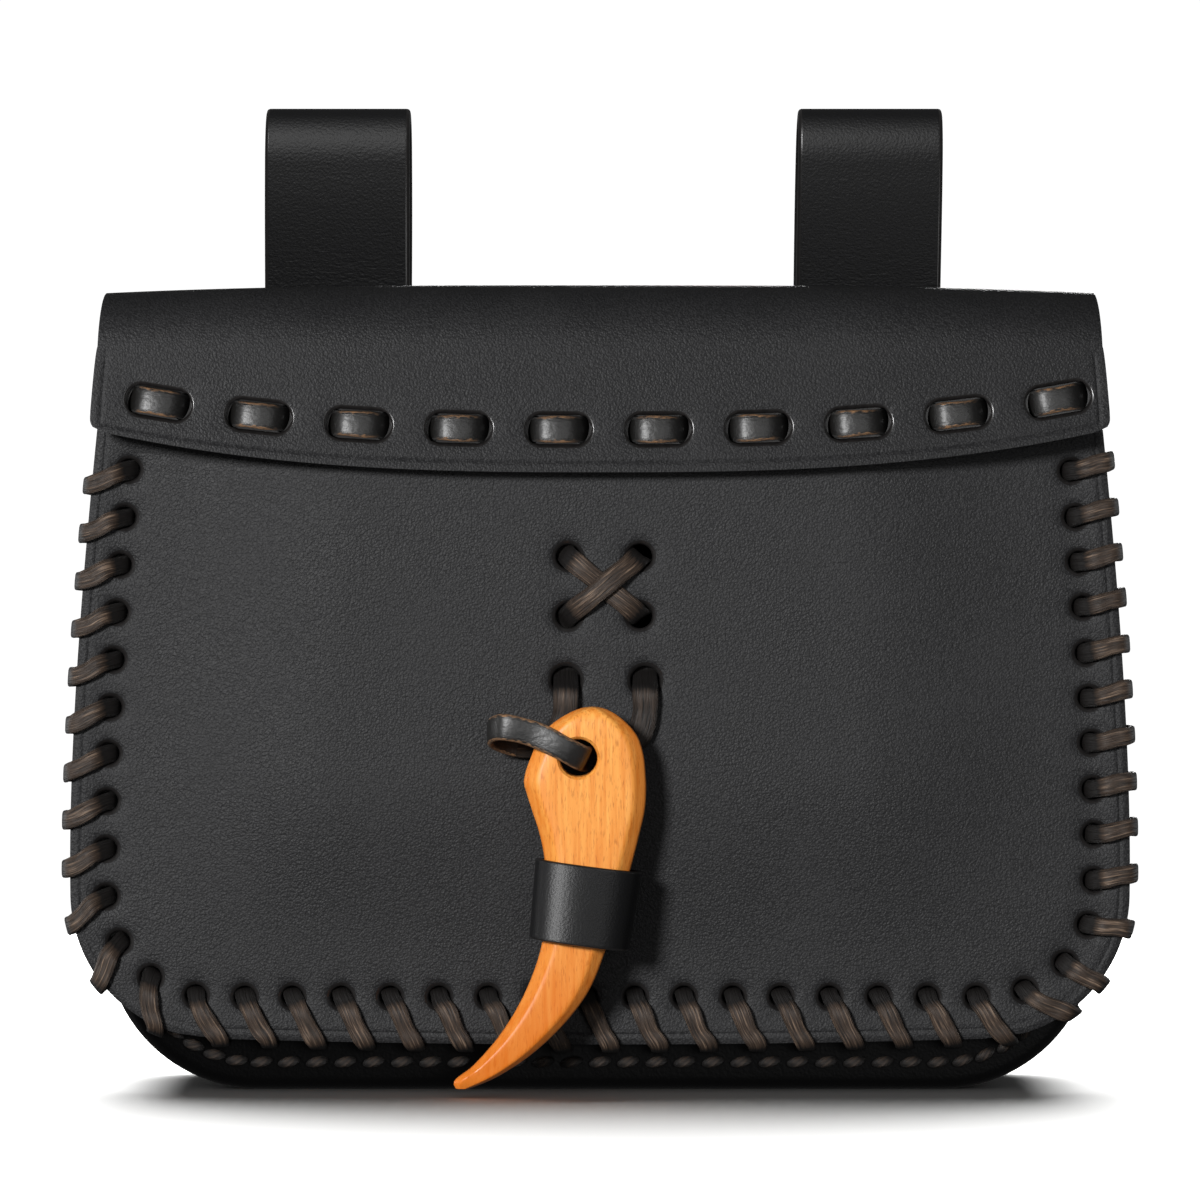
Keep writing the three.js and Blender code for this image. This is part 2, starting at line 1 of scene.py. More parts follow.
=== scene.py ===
# A belt bag of black leather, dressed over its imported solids. Metres, the same frame as the solids:
# x to the right seen from the front, y to the back, z up, standing on z = 0.
import functools
import math

import bpy
from mathutils import Matrix, Vector


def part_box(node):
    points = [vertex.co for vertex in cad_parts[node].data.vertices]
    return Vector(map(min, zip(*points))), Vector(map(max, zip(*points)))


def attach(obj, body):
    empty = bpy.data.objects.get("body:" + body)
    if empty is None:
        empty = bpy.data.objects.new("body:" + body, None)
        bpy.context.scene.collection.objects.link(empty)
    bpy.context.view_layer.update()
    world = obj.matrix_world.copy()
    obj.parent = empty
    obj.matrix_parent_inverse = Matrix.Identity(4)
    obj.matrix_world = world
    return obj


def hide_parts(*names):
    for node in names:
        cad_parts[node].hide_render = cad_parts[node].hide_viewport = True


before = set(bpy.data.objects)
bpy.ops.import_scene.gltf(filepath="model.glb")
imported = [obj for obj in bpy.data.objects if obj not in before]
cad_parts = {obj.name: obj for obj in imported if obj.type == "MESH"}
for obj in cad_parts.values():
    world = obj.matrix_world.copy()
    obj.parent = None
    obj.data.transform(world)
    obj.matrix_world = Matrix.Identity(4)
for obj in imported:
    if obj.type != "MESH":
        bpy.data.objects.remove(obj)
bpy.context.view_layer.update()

# Camera: level, in front of the bag and a little below the middle of its height, a metre away.
# The picture is 1200 pixels wide, and 5.3 of them are a millimetre on the rim of the front panel.
MM = 0.001
PICTURE_MM = 1200 / 5.3
CAMERA_DISTANCE = 1000
CAMERA_HEIGHT = 92.8
SENSOR_MM = 36
LIP_FRONT = 4.3
gusset_low, gusset_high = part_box("gusset")
rim_x = (gusset_low[0] + gusset_high[0]) / 2
rim_y = gusset_low[1] - LIP_FRONT * MM


def placed(x, y, z):
    """A place in the frame. x is from the middle, y from the front of the panel's rim, in millimetres."""
    return Vector((rim_x + x * MM, rim_y + y * MM, z * MM))


def made(name, operator, **settings):
    """A new object with a name, made by an operator while nothing else is selected."""
    bpy.ops.object.select_all(action="DESELECT")
    operator(**settings)
    bpy.context.object.name = name
    bpy.context.object.data.name = name
    return bpy.context.object


camera = made(
    "camera", bpy.ops.object.camera_add,
    location=placed(0, -CAMERA_DISTANCE, CAMERA_HEIGHT), rotation=(math.radians(90), 0, 0),
)
camera.data.sensor_width = SENSOR_MM
camera.data.lens = SENSOR_MM * CAMERA_DISTANCE / PICTURE_MM
bpy.context.scene.camera = camera
bpy.context.scene.view_settings.view_transform = "Standard"

# Floor and light: a sheet of white paper in a white room. A soft light stands on the left in front, a
# weaker one on the right, one at each side for the edges and one behind for the back. The paper has a
# light of its own and sends none up to the bag, because the picture's shadows are deep.
PAPER_WHITE = "#F4F4F3"
PAPER_SIZE = 900
ROOM_STRENGTH = 0.08
BACKDROP_STRENGTH = 1.05
LIGHT_AIM = (0, 0, 80)


def linear(code):
    """A colour given as an sRGB hex code, as linear red, green, blue and alpha."""
    parts = [int(code[i:i + 2], 16) / 255 for i in (1, 3, 5)]
    return (*[c / 12.92 if c <= 0.04045 else ((c + 0.055) / 1.055) ** 2.4 for c in parts], 1)


def add_node(tree, kind, inputs, gives=0, stops=(), **settings):
    """Adds a shader node with its settings and returns the output that it gives. An input that is a
    socket is linked, any other is set. Stops are the positions and colours along a ramp."""
    node = tree.nodes.new("ShaderNode" + kind)
    for name, value in settings.items():
        setattr(node, name, value)
    for number, (position, code) in enumerate(stops):
        ramp = node.color_ramp.elements
        stop = ramp[number] if number < 2 else ramp.new(position)
        stop.position = position
        stop.color = linear(code)
    for name, value in inputs.items():
        if isinstance(value, bpy.types.NodeSocket):
            tree.links.new(value, node.inputs[name])
        else:
            node.inputs[name].default_value = value
    return node.outputs[gives] if node.outputs else None


def new_material(name):
    """A material without nodes, and the function that adds nodes to it."""
    material = bpy.data.materials.new(name)
    material.use_nodes = True
    material.node_tree.nodes.clear()
    return material, functools.partial(add_node, material.node_tree)


floor = made("floor", bpy.ops.mesh.primitive_plane_add, size=PAPER_SIZE * MM)
floor.visible_diffuse = False
floor.visible_glossy = False
paper, add = new_material("matt_white_paper")
surface = add("BsdfPrincipled", {"Base Color": linear(PAPER_WHITE), "Roughness": 0.9})
add("OutputMaterial", {"Surface": surface})
floor.data.materials.append(paper)

world = bpy.data.worlds.new("white_studio")
world.use_nodes = True
world.node_tree.nodes.clear()
add = functools.partial(add_node, world.node_tree)
seen = add("LightPath", {}, "Is Camera Ray")
room = add("Background", {"Color": linear("#FFFFFF"), "Strength": ROOM_STRENGTH})
backdrop = add("Background", {"Color": linear("#FFFFFF"), "Strength": BACKDROP_STRENGTH})
add("OutputWorld", {"Surface": add("MixShader", {0: seen, 1: room, 2: backdrop})})
bpy.context.scene.world = world

# In place of the first light the flap, its lace and the sleeve have a lower one and the belt loops a
# higher one, where the picture shows their shine. The gusset has none, as the picture leaves it in the
# shade. The loops have a small low light behind them, because side lights would whiten their edges.
light_groups = {
    name: bpy.data.collections.new(name)
    for name in ("all_but_paper", "all_but_loops", "lit_by_key", "lit_low", "lit_high", "paper_alone")
}


def light_group(name, piece, state="INCLUDE"):
    """Puts a piece into a group that a light reaches, or keeps it out of one."""
    light_groups[name].objects.link(piece)
    light_groups[name].collection_objects[-1].light_linking.link_state = state


for group in ("all_but_paper", "all_but_loops", "lit_by_key"):
    light_group(group, floor, "EXCLUDE")
light_group("paper_alone", floor)
for name, place, size, watts, group in (
    ("key_light", (-900, -1900, 620), 460, 57, "lit_by_key"),
    ("low_light", (-700, -950, 60), 300, 17.5, "lit_low"),
    ("high_light", (-150, -650, 930), 450, 10, "lit_high"),
    ("left_light", (-850, 260, 150), 400, 5, "all_but_loops"),
    ("right_light", (900, 300, 250), 400, 3.5, "all_but_loops"),
    ("back_light", (150, 1300, 330), 500, 16, "all_but_loops"),
    ("strap_light", (0, 950, 30), 120, 11, "lit_high"),
    ("fill_light", (450, -1200, 100), 700, 2.2, "all_but_paper"),
    ("paper_light", (-30, 530, 800), 1300, 46, "paper_alone"),
):
    light = made(name, bpy.ops.object.light_add, type="AREA", location=placed(*place))
    light.data.shape = "DISK"
    light.data.size = size * MM
    light.data.energy = watts
    aim = placed(*LIGHT_AIM) - light.location
    light.rotation_euler = aim.to_track_quat("-Z", "Y").to_euler()
    light.light_linking.receiver_collection = light_groups[group]

# Back and flap: one sheet of black pebbled cowhide, 2.4 mm thick. It stands as the back, bends over
# the top and falls in front as a short flap with a bowed edge. Its cut edges are bevelled and burnished.
COWHIDE = 2.4
BACK_MIDDLE = 39.5
BACK_OUTLINE = {
    "top_half": 93, "top_z": 138, "pull_half": 101, "pull_z": 75,
    "corner_half": 94.6, "corner_radius": 29, "bottom_z": 0.5,
}
FLAP_TOP = 151.2
FLAP_BACK_RADIUS = 13
FLAP_FRONT_RADIUS = 11
FLAP_FRONT_MIDDLE = -7.6
FLAP_TOP_HALF = 93.2
FLAP_BEND_HALF = 94
FLAP_LOW_HALF = 95.5
FLAP_SIDE_POWER = 0.7
FLAP_EDGE = {"middle_z": 116.7, "rise": 7.5, "power": 2.7}
FLAP_END_DROP = 1.5
FLAP_END_POWER = 3
FLAP_CORNER_RADIUS = 2.6
FLAP_FALL = 27
FLAP_EXACT_RIM = 4
FLAP_STITCHES = 10
FLAP_STITCH_PITCH = 18.7
FLAP_STITCH_MIDDLE = 1.6
FLAP_STITCH_HALF = 4.4
FLAP_STITCH_ABOVE_EDGE = 8
FLAP_PUCKER_DEPTH = 0.4
FLAP_PUCKER_REACH = 4.2
FLAP_RECESS_HALF_Z = 2.75
FLAP_RECESS_HALF_X = 6.1
FLAP_RECESS_DEPTH = 1.2
FLAP_HOLE_HALF_X = 1.3
FLAP_HOLE_HALF_Z = 2.6
FLAP_HOLE_FLARE = 0.2
CREASE_INSET = 1.9
CREASE_HALF = 0.3
CREASE_DEPTH = 0.22
CREASE_FADE = 6
PUNCH_SIDES = 24
PUNCH_DEPTH = 8
PUNCH_NECK = 0.8
# The rings of a punch's front: how far each is before the last, and how much wider than the hole.
PUNCH_RINGS = ((0.3, 0.1), (0.3, 0.35), (0.2, 0.75), (0.9, 2.0))
EDGE_STEPS = (0, 1.0, 1.45, 1.7, 1.95, 2.2, 2.5, 3.1, 4)
BACK_STEP = 2.6
FALL_STEP = 0.75
FLAP_COLUMN_STEP = 1.3
BEND_STEPS = 14
TOP_STEPS = 9
WELD_DISTANCE = 1e-7
GRAIN_BLACK = "#1F1F20"
GRAIN_WORN_HIGHLIGHT = "#303031"
PEBBLE_MM = 0.4
EDGE_BLACK = "#0B0A09"
EDGE_RUBBED = "#242222"
SUEDE_BLACK = "#242120"


def mix(start, end, share):
    """A number between two others."""
    return start + (end - start) * share


def bowed(start, pull, end, share):
    """A number on the curve between two others that a third pulls towards itself."""
    return mix(mix(start, pull, share), mix(pull, end, share), share)


def eased(value, start, end):
    """0 before start and 1 after end, with a soft run between them."""
    share = min(max((value - start) / (end - start), 0), 1)
    return share * share * (3 - 2 * share)


def half_width(outline, z):
    """Half the width of a panel at a height: an arc at its corner, then one curve up its side."""
    radius = outline["corner_radius"]
    rise = z - outline["bottom_z"]
    if rise < radius:
        return outline["corner_half"] - radius + math.sqrt(max(radius ** 2 - (radius - rise) ** 2, 0))
    start = outline["bottom_z"] + radius
    bend = start - 2 * outline["pull_z"] + outline["top_z"]
    lead = 2 * (outline["pull_z"] - start)
    share = (math.sqrt(lead ** 2 + 4 * bend * (z - start)) - lead) / (2 * bend)
    return bowed(outline["corner_half"], outline["pull_half"], outline["top_half"], share)


def graded(length, step):
    """Distances along a length: close together near its start, then in even steps."""
    count = math.ceil((length - EDGE_STEPS[-1]) / step)
    return [*EDGE_STEPS, *[mix(EDGE_STEPS[-1], length, (i + 1) / count) for i in range(count)]]


def both_ways(half, step):
    """Shares from -1 to 1 across a width, close together near both edges."""
    right = [1 - distance / half for distance in graded(half, step)]
    return [-share for share in right] + right[-2::-1]


def laid_grid(name, columns, rows, place):
    """A grid of faces whose points are moved to where place puts their column and row."""
    piece = made(
        name, bpy.ops.mesh.primitive_grid_add,
        x_subdivisions=len(columns) - 1, y_subdivisions=len(rows) - 1, size=1,
    )
    for point in piece.data.vertices:
        column = round((point.co.x + 0.5) * (len(columns) - 1))
        row = round((point.co.y + 0.5) * (len(rows) - 1))
        point.co = place(columns[column], rows[row])
    return piece


def pick(piece):
    """Selects one piece alone and makes it the active one."""
    bpy.ops.object.select_all(action="DESELECT")
    piece.select_set(True)
    bpy.context.view_layer.objects.active = piece


def modify(piece, kind, **settings):
    """A modifier with its settings, applied at once."""
    pick(piece)
    bpy.ops.object.modifier_add(type=kind)
    for name, value in settings.items():
        setattr(piece.modifiers[-1], name, value)
    bpy.ops.object.modifier_apply(modifier=piece.modifiers[-1].name)


def leather_wall(piece, grain_side, thickness, edge_round):
    """Gives a sheet its grain, burnished edge and flesh side, its thickness and its rounded edges."""
    for material in (grain_side, burnished_edge, flesh_side):
        piece.data.materials.append(material)
    modify(
        piece, "SOLIDIFY", thickness=thickness * MM, offset=-1,
        material_offset=2, material_offset_rim=1,
    )
    modify(
        piece, "BEVEL", width=edge_round * MM, segments=3, limit_method="ANGLE",
        angle_limit=math.radians(50), material=1,
    )


def smooth(piece, degrees=40):
    """Smooth shading, but for edges that are sharper than an angle."""
    pick(piece)
    bpy.ops.object.shade_smooth_by_angle(angle=math.radians(degrees))


def weld(piece, fill_ends=True):
    """Joins the seam of a tube, closes its ends where that is wanted, and turns its faces outward."""
    pick(piece)
    bpy.ops.object.mode_set(mode="EDIT")
    bpy.ops.mesh.select_all(action="SELECT")
    bpy.ops.mesh.remove_doubles(threshold=WELD_DISTANCE)
    if fill_ends:
        bpy.ops.mesh.fill_holes(sides=0)
    bpy.ops.mesh.normals_make_consistent(inside=False)
    bpy.ops.object.mode_set(mode="OBJECT")


def punch(half_x, half_z, flare=1, depth=PUNCH_DEPTH, stretch=0):
    """A punch along y with its front at the origin, for holes whose front rim is drawn in and rounded.
    The stretch pulls its two halves apart along x. The rim keeps the grain, and the wall is a cut edge."""
    tool = made(
        "punch", bpy.ops.mesh.primitive_cylinder_add, vertices=PUNCH_SIDES, radius=MM,
        depth=(depth - PUNCH_NECK) * MM, location=(0, (depth + PUNCH_NECK) / 2 * MM, 0),
        rotation=(math.radians(90), math.radians(180 / PUNCH_SIDES), 0),
    )
    tool.scale = (half_x, half_z, 1)
    bpy.ops.object.transform_apply(location=True, rotation=True, scale=True)
    bpy.ops.object.mode_set(mode="EDIT")
    bpy.ops.mesh.select_mode(type="FACE")
    bpy.ops.mesh.select_all(action="DESELECT")
    bpy.ops.object.mode_set(mode="OBJECT")
    for face in tool.data.polygons:
        face.select = face.normal.y < -0.9
    bpy.ops.object.mode_set(mode="EDIT")
    wide = 0
    for forward, wider in PUNCH_RINGS:
        bpy.ops.mesh.extrude_region_move(TRANSFORM_OT_translate={"value": (0, -forward * MM, 0)})
        grow_x = (half_x + wider * flare) / (half_x + wide * flare)
        grow_z = (half_z + wider * flare) / (half_z + wide * flare)
        bpy.ops.transform.resize(value=(grow_x, 1, grow_z))
        wide = wider
    bpy.ops.object.mode_set(mode="OBJECT")
    for point in tool.data.vertices:
        point.co.x += math.copysign(stretch * MM, point.co.x)
    for material in (cowhide, burnished_edge):
        tool.data.materials.append(material)
    for face in tool.data.polygons:
        face.material_index = int(face.center.y > 0)
    return tool


def copied(source, places):
    """One piece made of copies of a source, each moved by its matrix. The source is used up."""
    copies = []
    for place in places:
        copy = source.copy()
        copy.data = source.data.copy()
        copy.data.transform(place)
        bpy.context.collection.objects.link(copy)
        copies.append(copy)
    bpy.data.objects.remove(source)
    pick(copies[0])
    for copy in copies:
        copy.select_set(True)
    bpy.ops.object.join()
    return bpy.context.object


def cut(piece, tool):
    """Takes a tool's shape out of a piece, and the tool away."""
    modify(piece, "BOOLEAN", operation="DIFFERENCE", solver="MANIFOLD", object=tool)
    bpy.data.objects.remove(tool)


# Drum-dyed cowhide, grain side: small rounded pebbles with a soft waxed sheen, a little lighter in worn
# patches. The pebbles' tops are painted lighter and their hollows darker, partly as wear and partly as
# painted highlight and painted shade on the relief. The pebbles are drawn about as large as the real ones.
cowhide, add = new_material("pebbled_cowhide")
spot = add("TexCoord", {}, "Object")
waver = add("TexNoise", {"Vector": spot, "Scale": 0.9 / (PEBBLE_MM * MM), "Detail": 1.0}, "Color")
shifted = add("Mix", {0: 0.0006, 4: spot, 5: waver}, 1, data_type="VECTOR")
pebbles = add(
    "TexVoronoi", {"Vector": shifted, "Scale": 1 / (PEBBLE_MM * MM), "Smoothness": 0.7}, feature="SMOOTH_F1",
)
patches = add("TexNoise", {"Vector": spot, "Scale": 45.0, "Detail": 3.0})
fine = add("TexNoise", {"Vector": spot, "Scale": 2200.0, "Detail": 2.0})
# Painted highlight and painted shade, partly wear: the pebbles' tops lighter and their hollows darker.
tops = add("MapRange", {"Value": pebbles, "From Min": 0.1, "From Max": 0.6, "To Min": 0.6, "To Max": 0.0})
wear_and_painted_shade = add("Math", {0: patches, 1: 0.5, 2: tops}, operation="MULTIPLY_ADD")
tone = add("ValToRGB", {"Fac": wear_and_painted_shade}, stops=((0.25, GRAIN_BLACK), (0.85, GRAIN_WORN_HIGHLIGHT)))
sheen = add("MapRange", {"Value": patches, "From Min": 0.3, "From Max": 0.7, "To Min": 0.5, "To Max": 0.58})
relief = add("Bump", {"Height": pebbles, "Strength": 0.52, "Distance": 0.3 * MM}, invert=True)
relief = add("Bump", {"Height": fine, "Strength": 0.25, "Distance": 0.1 * MM, "Normal": relief})
surface = add(
    "BsdfPrincipled", {"Base Color": tone, "Roughness": sheen, "Specular IOR Level": 0.22, "Normal": relief},
)
add("OutputMaterial", {"Surface": surface})


def fibre_material(name, scale, detail, dark, light, strength, depth, roughness, specular):
    """A material of fine fibres or pores: two tones and a shallow relief from one noise."""
    material, add = new_material(name)
    spot = add("TexCoord", {}, "Object")
    fibres = add("TexNoise", {"Vector": spot, "Scale": scale, "Detail": detail})
    tone = add("ValToRGB", {"Fac": fibres}, stops=((0, dark), (1, light)))
    relief = add("Bump", {"Height": fibres, "Strength": strength, "Distance": depth * MM})
    surface = add("BsdfPrincipled", {
        "Base Color": tone, "Roughness": roughness, "Specular IOR Level": specular, "Normal": relief,
    })
    add("OutputMaterial", {"Surface": surface})
    return material


# Burnished cut edge: dyed, rubbed with wax until the fibres lie down, so it is smooth and shines.
burnished_edge = fibre_material(
    "burnished_leather_edge", 900, 3, EDGE_BLACK, EDGE_RUBBED,
    strength=0.2, depth=0.1, roughness=0.28, specular=0.7,
)

# Flesh side: the shaved back of the hide, dull short fibres without any grain.
flesh_side = fibre_material(
    "shaved_flesh_side", 700, 6, EDGE_BLACK, SUEDE_BLACK,
    strength=0.5, depth=0.2, roughness=0.92, specular=0.5,
)


def flap_edge(x):
    """Height of the flap's lower edge."""
    return FLAP_EDGE["middle_z"] + FLAP_EDGE["rise"] * abs(x / FLAP_LOW_HALF) ** FLAP_EDGE["power"]


flap_stitches = []
for number in range(FLAP_STITCHES):
    stitch_x = FLAP_STITCH_MIDDLE + (number - (FLAP_STITCHES - 1) / 2) * FLAP_STITCH_PITCH
    slope = math.atan2(flap_edge(stitch_x + 1) - flap_edge(stitch_x - 1), 2)
    flap_stitches.append((stitch_x, flap_edge(stitch_x) + FLAP_STITCH_ABOVE_EDGE, slope))


def along_stitch(stitch, beside):
    """A place (x, z) on the line of a stitch, some way to the right of its middle."""
    x, z, slope = stitch
    return x + beside * math.cos(slope), z + beside * math.sin(slope)


def flap_pucker(x, z):
    """How deep the lace draws the flap in at a place on its front."""
    depth = 0
    for stitch_x, stitch_z, slope in flap_stitches:
        along = (x - stitch_x) * math.cos(slope) + (z - stitch_z) * math.sin(slope)
        above = (z - stitch_z) * math.cos(slope) - (x - stitch_x) * math.sin(slope)
        away = math.hypot(max(abs(along) - FLAP_STITCH_HALF, 0), above)
        depth += FLAP_PUCKER_DEPTH * math.exp(-(away / FLAP_PUCKER_REACH) ** 2)
    return depth


def crease(inside):
    """How deep a blunt tool has pressed the line that runs along an edge, some way inside it."""
    return CREASE_DEPTH * math.exp(-((inside - CREASE_INSET) / CREASE_HALF) ** 2)


def back_flap_point(column, row):
    """A point of the outer face: up the back, round the two bends and down the front."""
    part, share = row
    out = COWHIDE / 2
    if part == "back":
        z = BACK_OUTLINE["bottom_z"] + share
        return placed(column * half_width(BACK_OUTLINE, z), BACK_MIDDLE + out, z)
    drop = FLAP_END_DROP * abs(column) ** FLAP_END_POWER
    turn = share * math.pi / 2
    if part == "back bend":
        half = mix(BACK_OUTLINE["top_half"], FLAP_TOP_HALF, share)
        y = BACK_MIDDLE - FLAP_BACK_RADIUS + (FLAP_BACK_RADIUS + out) * math.cos(turn)
        z = FLAP_TOP - FLAP_BACK_RADIUS + (FLAP_BACK_RADIUS + out) * math.sin(turn)
        return placed(column * half, y, z - drop * math.sin(turn))
    bend_y = FLAP_FRONT_MIDDLE + FLAP_FRONT_RADIUS
    if part == "top":
        y = mix(BACK_MIDDLE - FLAP_BACK_RADIUS, bend_y, share)
        return placed(column * FLAP_TOP_HALF, y, FLAP_TOP + out - drop)
    if part == "front bend":
        half = mix(FLAP_TOP_HALF, FLAP_BEND_HALF, share)
        y = bend_y - (FLAP_FRONT_RADIUS + out) * math.sin(turn)
        z = FLAP_TOP - FLAP_FRONT_RADIUS + (FLAP_FRONT_RADIUS + out) * math.cos(turn)
        return placed(column * half, y, z - drop * math.cos(turn))
    half = mix(FLAP_BEND_HALF, FLAP_LOW_HALF, (1 - share / FLAP_FALL) ** FLAP_SIDE_POWER)
    edge_z = flap_edge(column * half)
    near = min(share, FLAP_EXACT_RIM)
    far_room = FLAP_TOP - FLAP_FRONT_RADIUS - edge_z - FLAP_EXACT_RIM
    above = near + (share - near) * far_room / (FLAP_FALL - FLAP_EXACT_RIM)
    short = max(FLAP_CORNER_RADIUS - above, 0)
    x = column * (half - FLAP_CORNER_RADIUS + math.sqrt(FLAP_CORNER_RADIUS ** 2 - short ** 2))
    pressed = crease(min(above, (1 - abs(column)) * half)) * eased(FLAP_FALL - share, 0, CREASE_FADE)
    z = edge_z + above
    return placed(x, FLAP_FRONT_MIDDLE - out + flap_pucker(x, z) + pressed, z)


back_height = BACK_OUTLINE["top_z"] - BACK_OUTLINE["bottom_z"]
back_flap_rows = [("back", rise) for rise in graded(back_height, BACK_STEP)]
for part, count in (("back bend", BEND_STEPS), ("top", TOP_STEPS), ("front bend", BEND_STEPS)):
    back_flap_rows += [(part, (number + 1) / count) for number in range(count)]
back_flap_rows += [("fall", distance) for distance in graded(FLAP_FALL, FALL_STEP)[-2::-1]]
back_flap_columns = [-share for share in both_ways(FLAP_LOW_HALF, FLAP_COLUMN_STEP)]
back_flap = laid_grid("leather_back_and_flap", back_flap_columns, back_flap_rows, back_flap_point)
leather_wall(back_flap, cowhide, COWHIDE, edge_round=0.75)
recess_front = FLAP_FRONT_MIDDLE - COWHIDE / 2 + FLAP_PUCKER_DEPTH / 2


def flap_place(stitch, beside):
    """Where a punch stands on the flap: on the line of a stitch, turned along it."""
    x, z = along_stitch(stitch, beside)
    return Matrix.Translation(placed(x, recess_front, z)) @ Matrix.Rotation(-stitch[2], 4, "Y")


recess = punch(
    FLAP_RECESS_HALF_Z, FLAP_RECESS_HALF_Z, depth=FLAP_RECESS_DEPTH,
    stretch=FLAP_RECESS_HALF_X - FLAP_RECESS_HALF_Z,
)
cut(back_flap, copied(recess, [flap_place(stitch, 0) for stitch in flap_stitches]))
hole_places = [flap_place(stitch, side * FLAP_STITCH_HALF) for stitch in flap_stitches for side in (-1, 1)]
cut(back_flap, copied(punch(FLAP_HOLE_HALF_X, FLAP_HOLE_HALF_Z, FLAP_HOLE_FLARE), hole_places))
smooth(back_flap)
light_group("lit_low", back_flap)
light_group("lit_by_key", back_flap, "EXCLUDE")
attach(back_flap, "bag")
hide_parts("back_flap")

# Belt loops: two straps of the same cowhide. Each runs up behind the flap, rolls over to take the belt
# and comes down again to its foot, where both ends are sewn to the back.
LOOP_WIDTH = 28.4
LOOP_TOP = 190.1
LOOP_RADIUS = 7.5
LOOP_FRONT_EASE = 5
LOOP_FOOT = 62
LOOP_JOIN = 98
LOOP_STRAIGHT = 150
LOOP_GAP = 0.3
LOOP_FRONT = BACK_MIDDLE + COWHIDE + LOOP_GAP
LOOP_REAR = LOOP_FRONT + COWHIDE + LOOP_GAP
# Rows down the rear of a loop: share of the way out, and of the way up, to the end of the roll.
LOOP_FALL = ((0.62, 0.5), (0.24, 0.2), (0, 0), (0, -0.22))
# A row for each loop: node, middle of its foot, middle of its top.
LOOP_PLACES = (("belt_loop_left", -51.5, -51.7), ("belt_loop_right", 51, 53.4))
LOOP_STEP = 1.5
LOOP_COLUMN_STEP = 1.4
ROLL_STEPS = 8
CURVE_STEPS = 16
STRAP_BLACK = "#0C0C0D"
STRAP_WORN = "#131314"
STRAP_PORE = 0.5
STRAP_CREASE = (2, 1, 0.5)
STRAP_CREASE_SLANT = 28
STRAP_BEND_LOW = 140
STRAP_BEND_HIGH = 180

# Strap leather: the smoother firm part of the hide. It is blacker and shines more than the pebbled
# leather, and creases finely where a loop bends to pass behind the flap.
strap_leather, add = new_material("smooth_strap_leather")
spot = add("TexCoord", {}, "Object")
pores = add("TexNoise", {"Vector": spot, "Scale": 1 / (STRAP_PORE * MM), "Detail": 3.0})
slanted = add("Mapping", {
    "Vector": spot, "Rotation": (0, math.radians(STRAP_CREASE_SLANT), 0),
    "Scale": [1 / (length * MM) for length in STRAP_CREASE],
})
creases = add("TexNoise", {"Vector": slanted, "Scale": 1.0, "Detail": 2.0, "Distortion": 0.8})
height = add("SeparateXYZ", {"Vector": spot}, "Z")
bent = add("MapRange", {"Value": height, "From Min": STRAP_BEND_LOW * MM, "From Max": STRAP_BEND_HIGH * MM})
creased = add("ValToRGB", {"Fac": bent}, stops=((0, "#000000"), (0.35, "#FFFFFF"), (1, "#000000")))
folds = add("Math", {0: creases, 1: creased}, operation="MULTIPLY")
tone = add("ValToRGB", {"Fac": pores}, stops=((0, STRAP_BLACK), (1, STRAP_WORN)))
relief = add("Bump", {"Height": pores, "Strength": 0.7, "Distance": 0.15 * MM})
relief = add("Bump", {"Height": folds, "Strength": 0.35, "Distance": 0.25 * MM, "Normal": relief})
surface = add(
    "BsdfPrincipled", {"Base Color": tone, "Roughness": 0.47, "Specular IOR Level": 0.2, "Normal": relief},
)
add("OutputMaterial", {"Surface": surface})


def way_at(places, number):
    """The direction of a line of places at one of them."""
    return (places[min(number + 1, len(places) - 1)] - places[max(number - 1, 0)]).normalized()


def evened(rows, spacing):
    """Rows at even steps along a line of rows that begin with a place, and the length of a step."""
    gaps = [math.dist(a[:3], b[:3]) for a, b in zip(rows, rows[1:])]
    total = sum(gaps)
    count = math.ceil(total / spacing)
    even = [rows[0]]
    walked = 0
    for a, b, gap in zip(rows, rows[1:], gaps):
        while len(even) < count and walked + gap >= len(even) * total / count:
            share = (len(even) * total / count - walked) / gap
            even.append([mix(p, q, share) for p, q in zip(a, b)])
        walked += gap
    return even + [rows[-1]], total / count


def smooth_route(rows, spacing):
    """A smooth curve through rows of numbers whose first three are a place, at an even spacing."""
    gaps = [max(math.dist(a[:3], b[:3]), 1e-6) for a, b in zip(rows, rows[1:])]
    steps = [[(q - p) / gap for p, q in zip(a, b)] for a, b, gap in zip(rows, rows[1:], gaps)]
    ways = [steps[0]]
    for before, after, near, far in zip(steps, steps[1:], gaps, gaps[1:]):
        ways.append([(p * far + q * near) / (near + far) for p, q in zip(before, after)])
    ways.append(steps[-1])
    dense = []
    for start, end, leave, reach, gap in zip(rows, rows[1:], ways, ways[1:], gaps):
        for share in [i / CURVE_STEPS for i in range(CURVE_STEPS)]:
            rest = 1 - share
            weights = (
                rest * rest * (1 + 2 * share), share * share * (3 - 2 * share),
                share * rest * rest * gap, -share * share * rest * gap,
            )
            dense.append([sum(w * v for w, v in zip(weights, row)) for row in zip(start, end, leave, reach)])
    return evened(dense + [rows[-1]], spacing)[0]


